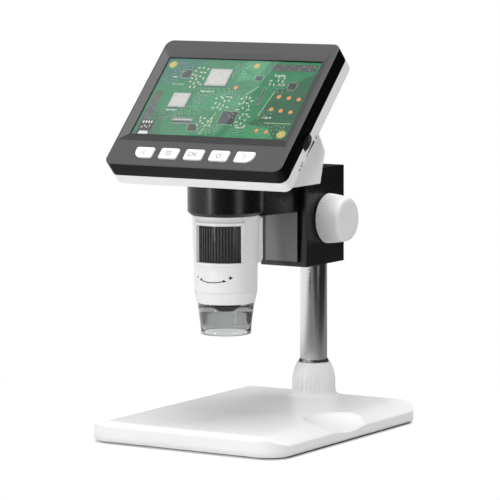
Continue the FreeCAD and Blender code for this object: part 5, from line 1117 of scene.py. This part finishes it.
# %% Pads, a plug and printed lines
for x, y, r in ((-43.6, 22.6, 2.2), (8.6, 23.4, 1.8), (43.2, -22.8, 2.4)):
    picture.spot(x, y, r + 0.5, (0.05, 0.28, 0.1), 3.1, 18)
    picture.spot(x, y, r, GOLD, 4.1, 18)
for x, y in ((31.0, 2.6), (37.4, 2.0), (43.6, 1.2), (30.0, -6.0), (36.2, -6.8), (42.4, -7.6), (27.4, -20.8),
             (33.6, -21.6), (2.4, 8.0)):
    picture.spot(x, y, 1.5, PAD_RING, 3.1)
    picture.spot(x, y, 1.25, PAD, 4.1)
picture.box(-41.0, -21.6, 8.6, 8.5, DARK, 4.2)
for k in range(4):
    picture.box(-43.6 + k * 1.7, -18.0, 0.9, 1.6, (0.75, 0.75, 0.72), 5.2)
    picture.box(-43.2 + k * 1.5, -21.6 + (k % 2), 0.8, 1.1, (0.6, 0.6, 0.58), 5.2)
picture.shape([(-44.2, -27), (-37.2, -27), (-38.2, -24.2), (-43.2, -24.2)], (0.72, 0.74, 0.72), 5.2)
for x, y, length in ((-18, 4.6, 9), (24, 17.0, 6), (-34, -9.0, 8), (14, -19.5, 6), (28, -12.0, 6),
                     (-40, 14.0, 4), (-4, 1.4, 6)):
    for k in range(int(length / 1.05)):
        picture.box(x + k * 1.05, y, 0.62, 0.9 if k % 3 else 0.45, WHITE, 5.0)

# %% [markdown]
# The tiny parts of the board are scattered by Geometry Nodes: a few small boxes in their usual colours
# are put on random points of chosen patches, with a fixed seed, so that the picture is the same each
# time.

# %% Scatter tree
PARTS_PER_SQUARE_METRE, QUARTER_TURN = 6.0e6, math.pi / 2


def scatter_tree():
    tree, given = new_tree("scatter_small_parts", Shape="Object", Spacing="Float", Seed="Int",
                           Finish="Material")
    scatter = add(tree, "GeometryNodeDistributePointsOnFaces",
                  {"Mesh": given["Geometry"], "Distance Min": given["Spacing"], "Seed": given["Seed"],
                   "Density Max": PARTS_PER_SQUARE_METRE}, distribute_method="POISSON")
    pick = add(tree, "FunctionNodeRandomValue", {4: 0, 5: 3, "Seed": given["Seed"]}, data_type="INT")
    turn = add(tree, "ShaderNodeMath", {0: pick.outputs[2], 1: QUARTER_TURN},
               operation="MULTIPLY").outputs[0]
    return dress_and_end(tree, given, real_copies(tree, given, scatter.outputs["Points"], turn))


small_parts_tree = scatter_tree()
print("tree nodes", len(small_parts_tree.nodes))

# %% Screen finish
SCREEN_GLOW = 0.95


def screen_finish():
    material, tree, shader = node_material("lit_screen")
    colour = add(tree, "ShaderNodeAttribute", attribute_name="tint").outputs["Color"]
    mottled = two_colours(tree, 1.0, colour, spread(tree, noise(tree, 2.4, 4.0), 0.9, 1.06), "MULTIPLY")
    feed(tree, shader, {"Base Color": two_colours(tree, 0.85, mottled, (0.004, 0.004, 0.004, 1)),
                        "Emission Color": mottled, "Emission Strength": SCREEN_GLOW,
                        "Roughness": 0.6, "Specular IOR Level": 0.2})
    return material


paint["screen"] = screen_finish()


def tint_faces(mesh, colours):
    layer = mesh.attributes.new("tint", "FLOAT_COLOR", "FACE")
    for k, colour in enumerate(colours):
        layer.data[k].color = colour + (1,)

# %% The lit picture and its border
def flat_mesh(name, sheet, place, coloured=True):
    mesh = bpy.data.meshes.new(name)
    mesh.from_pydata(sheet.points, [], sheet.faces)
    if coloured:
        tint_faces(mesh, sheet.colours)
    mesh.transform(Matrix.Scale(MM, 4) @ place)
    return mesh


picture_mesh = flat_mesh("picture", picture, SCREEN)
picture_mesh.materials.append(paint["screen"])
parts_of_kind = (
    ("pale", [(0, 0, 1.3, 0.75, TAN, 0), (-0.55, 0, 0.32, 0.75, WHITE, 1), (0.55, 0, 0.32, 0.75, WHITE, 1)],
     2.3, 3),
    ("black", [(0, 0, 1.6, 0.95, DARK, 0), (-0.7, 0, 0.3, 0.95, SILVER, 1), (0.7, 0, 0.3, 0.95, SILVER, 1)],
     2.6, 8),
    ("dots", [(0, 0, 0.45, 0.45, (0.45, 0.75, 0.5), 0), (0.9, 0.3, 0.4, 0.4, (0.003, 0.05, 0.02), 1)],
     1.7, 15))
patches = (
    ((-24, 14, 8, 14), (-2, -3, 10, 9), (26, 14, 9, 7), (13, -3, 7, 9), (-6, -16, 9, 6), (16, -14, 6, 9)),
    ((-36, 20, 9, 7), (-30, -13, 12, 5), (2, 4, 9, 6), (15, -21, 7, 6), (30, 8, 6, 6), (-16, -1, 7, 6)),
    ((-8, 4, 22, 6), (-20, -9, 16, 6), (12, -6, 12, 16), (0, 20, 8, 9), (-40, 12, 10, 6), (36, -20, 16, 6),
     (28, -10, 8, 6), (-2, -22, 12, 6)))
pieces = [picture_mesh]
for (kind, boxes, spacing, seed), places in zip(parts_of_kind, patches):
    one = Sheet(0.0, 0.03)
    for x, y, w, h, colour, layer in boxes:
        one.box(x, y, w, h, colour, layer * 5)
    small = bpy.data.objects.new(kind, flat_mesh(kind, one, LEVEL))
    ground = Sheet(-0.97, -0.97)
    for x, y, w, h in places:
        ground.box(x, y, w, h, GREEN, 0)
    field = bpy.data.objects.new(kind + "_field", flat_mesh(kind + "_field", ground, LEVEL, False))
    for made in (small, field):
        bpy.context.scene.collection.objects.link(made)
    pieces.append(grown(field, small_parts_tree, SCREEN, Shape=small, Spacing=spacing * MM, Seed=seed,
                        Finish=paint["screen"]))
border = Sheet(-1.2, -1.2)
for x, y, w, h in ((0, 28.2, 101.0, 2.5), (0, -28.95, 101.0, 4.0), (-49.05, 0, 3.05, 54),
                   (49.05, 0, 3.05, 54)):
    border.box(x, y, w, h, (0.006, 0.006, 0.007), 0)
pieces.append(flat_mesh("border", border, SCREEN))
pieces[-1].materials.append(paint["screen"])
print("picture pieces", [len(mesh.polygons) for mesh in pieces])

# %% The module's body, joined with what it shows
MODULE_HALF, MODULE_LOW, MODULE_HIGH, MODULE_COLOUR = 50.6, -31.0, 29.5, (0.25, 0.25, 0.26)
rings = []
for ease, depth in ((0.15, -1.4), (0.0, -1.55), (0.0, -3.7), (0.15, -3.85)):
    rings.append(rounded_outline(ease - MODULE_HALF, MODULE_HALF - ease, MODULE_LOW + ease,
                                 MODULE_HIGH - ease, (0.4,) * 4, depth, 2))
module_points, module_faces = closed_band(rings)
body_mesh = bpy.data.meshes.new("module_body")
body_mesh.from_pydata(module_points, [], module_faces)
tint_faces(body_mesh, [MODULE_COLOUR] * len(module_faces))
body_mesh.transform(Matrix.Scale(MM, 4) @ SCREEN)
body_mesh.materials.append(paint["screen"])


def joined(name, meshes):
    # One mesh of several, with the colours of their faces
    points_, faces_, colours_ = [], [], []
    for mesh in meshes:
        first_ = len(points_)
        points_ += [v.co.copy() for v in mesh.vertices]
        faces_ += [tuple(first_ + i for i in face.vertices) for face in mesh.polygons]
        colours_ += [tuple(item.color)[:3] for item in mesh.attributes["tint"].data]
    whole = bpy.data.meshes.new(name)
    whole.from_pydata(points_, [], faces_)
    tint_faces(whole, colours_)
    return whole


screen_mesh = joined("lit_screen", [body_mesh] + pieces)
screen_mesh.materials.append(paint["screen"])
put("lit_screen", screen_mesh, "carriage", "screen", ("lcd_panel",), sharp=30.0)
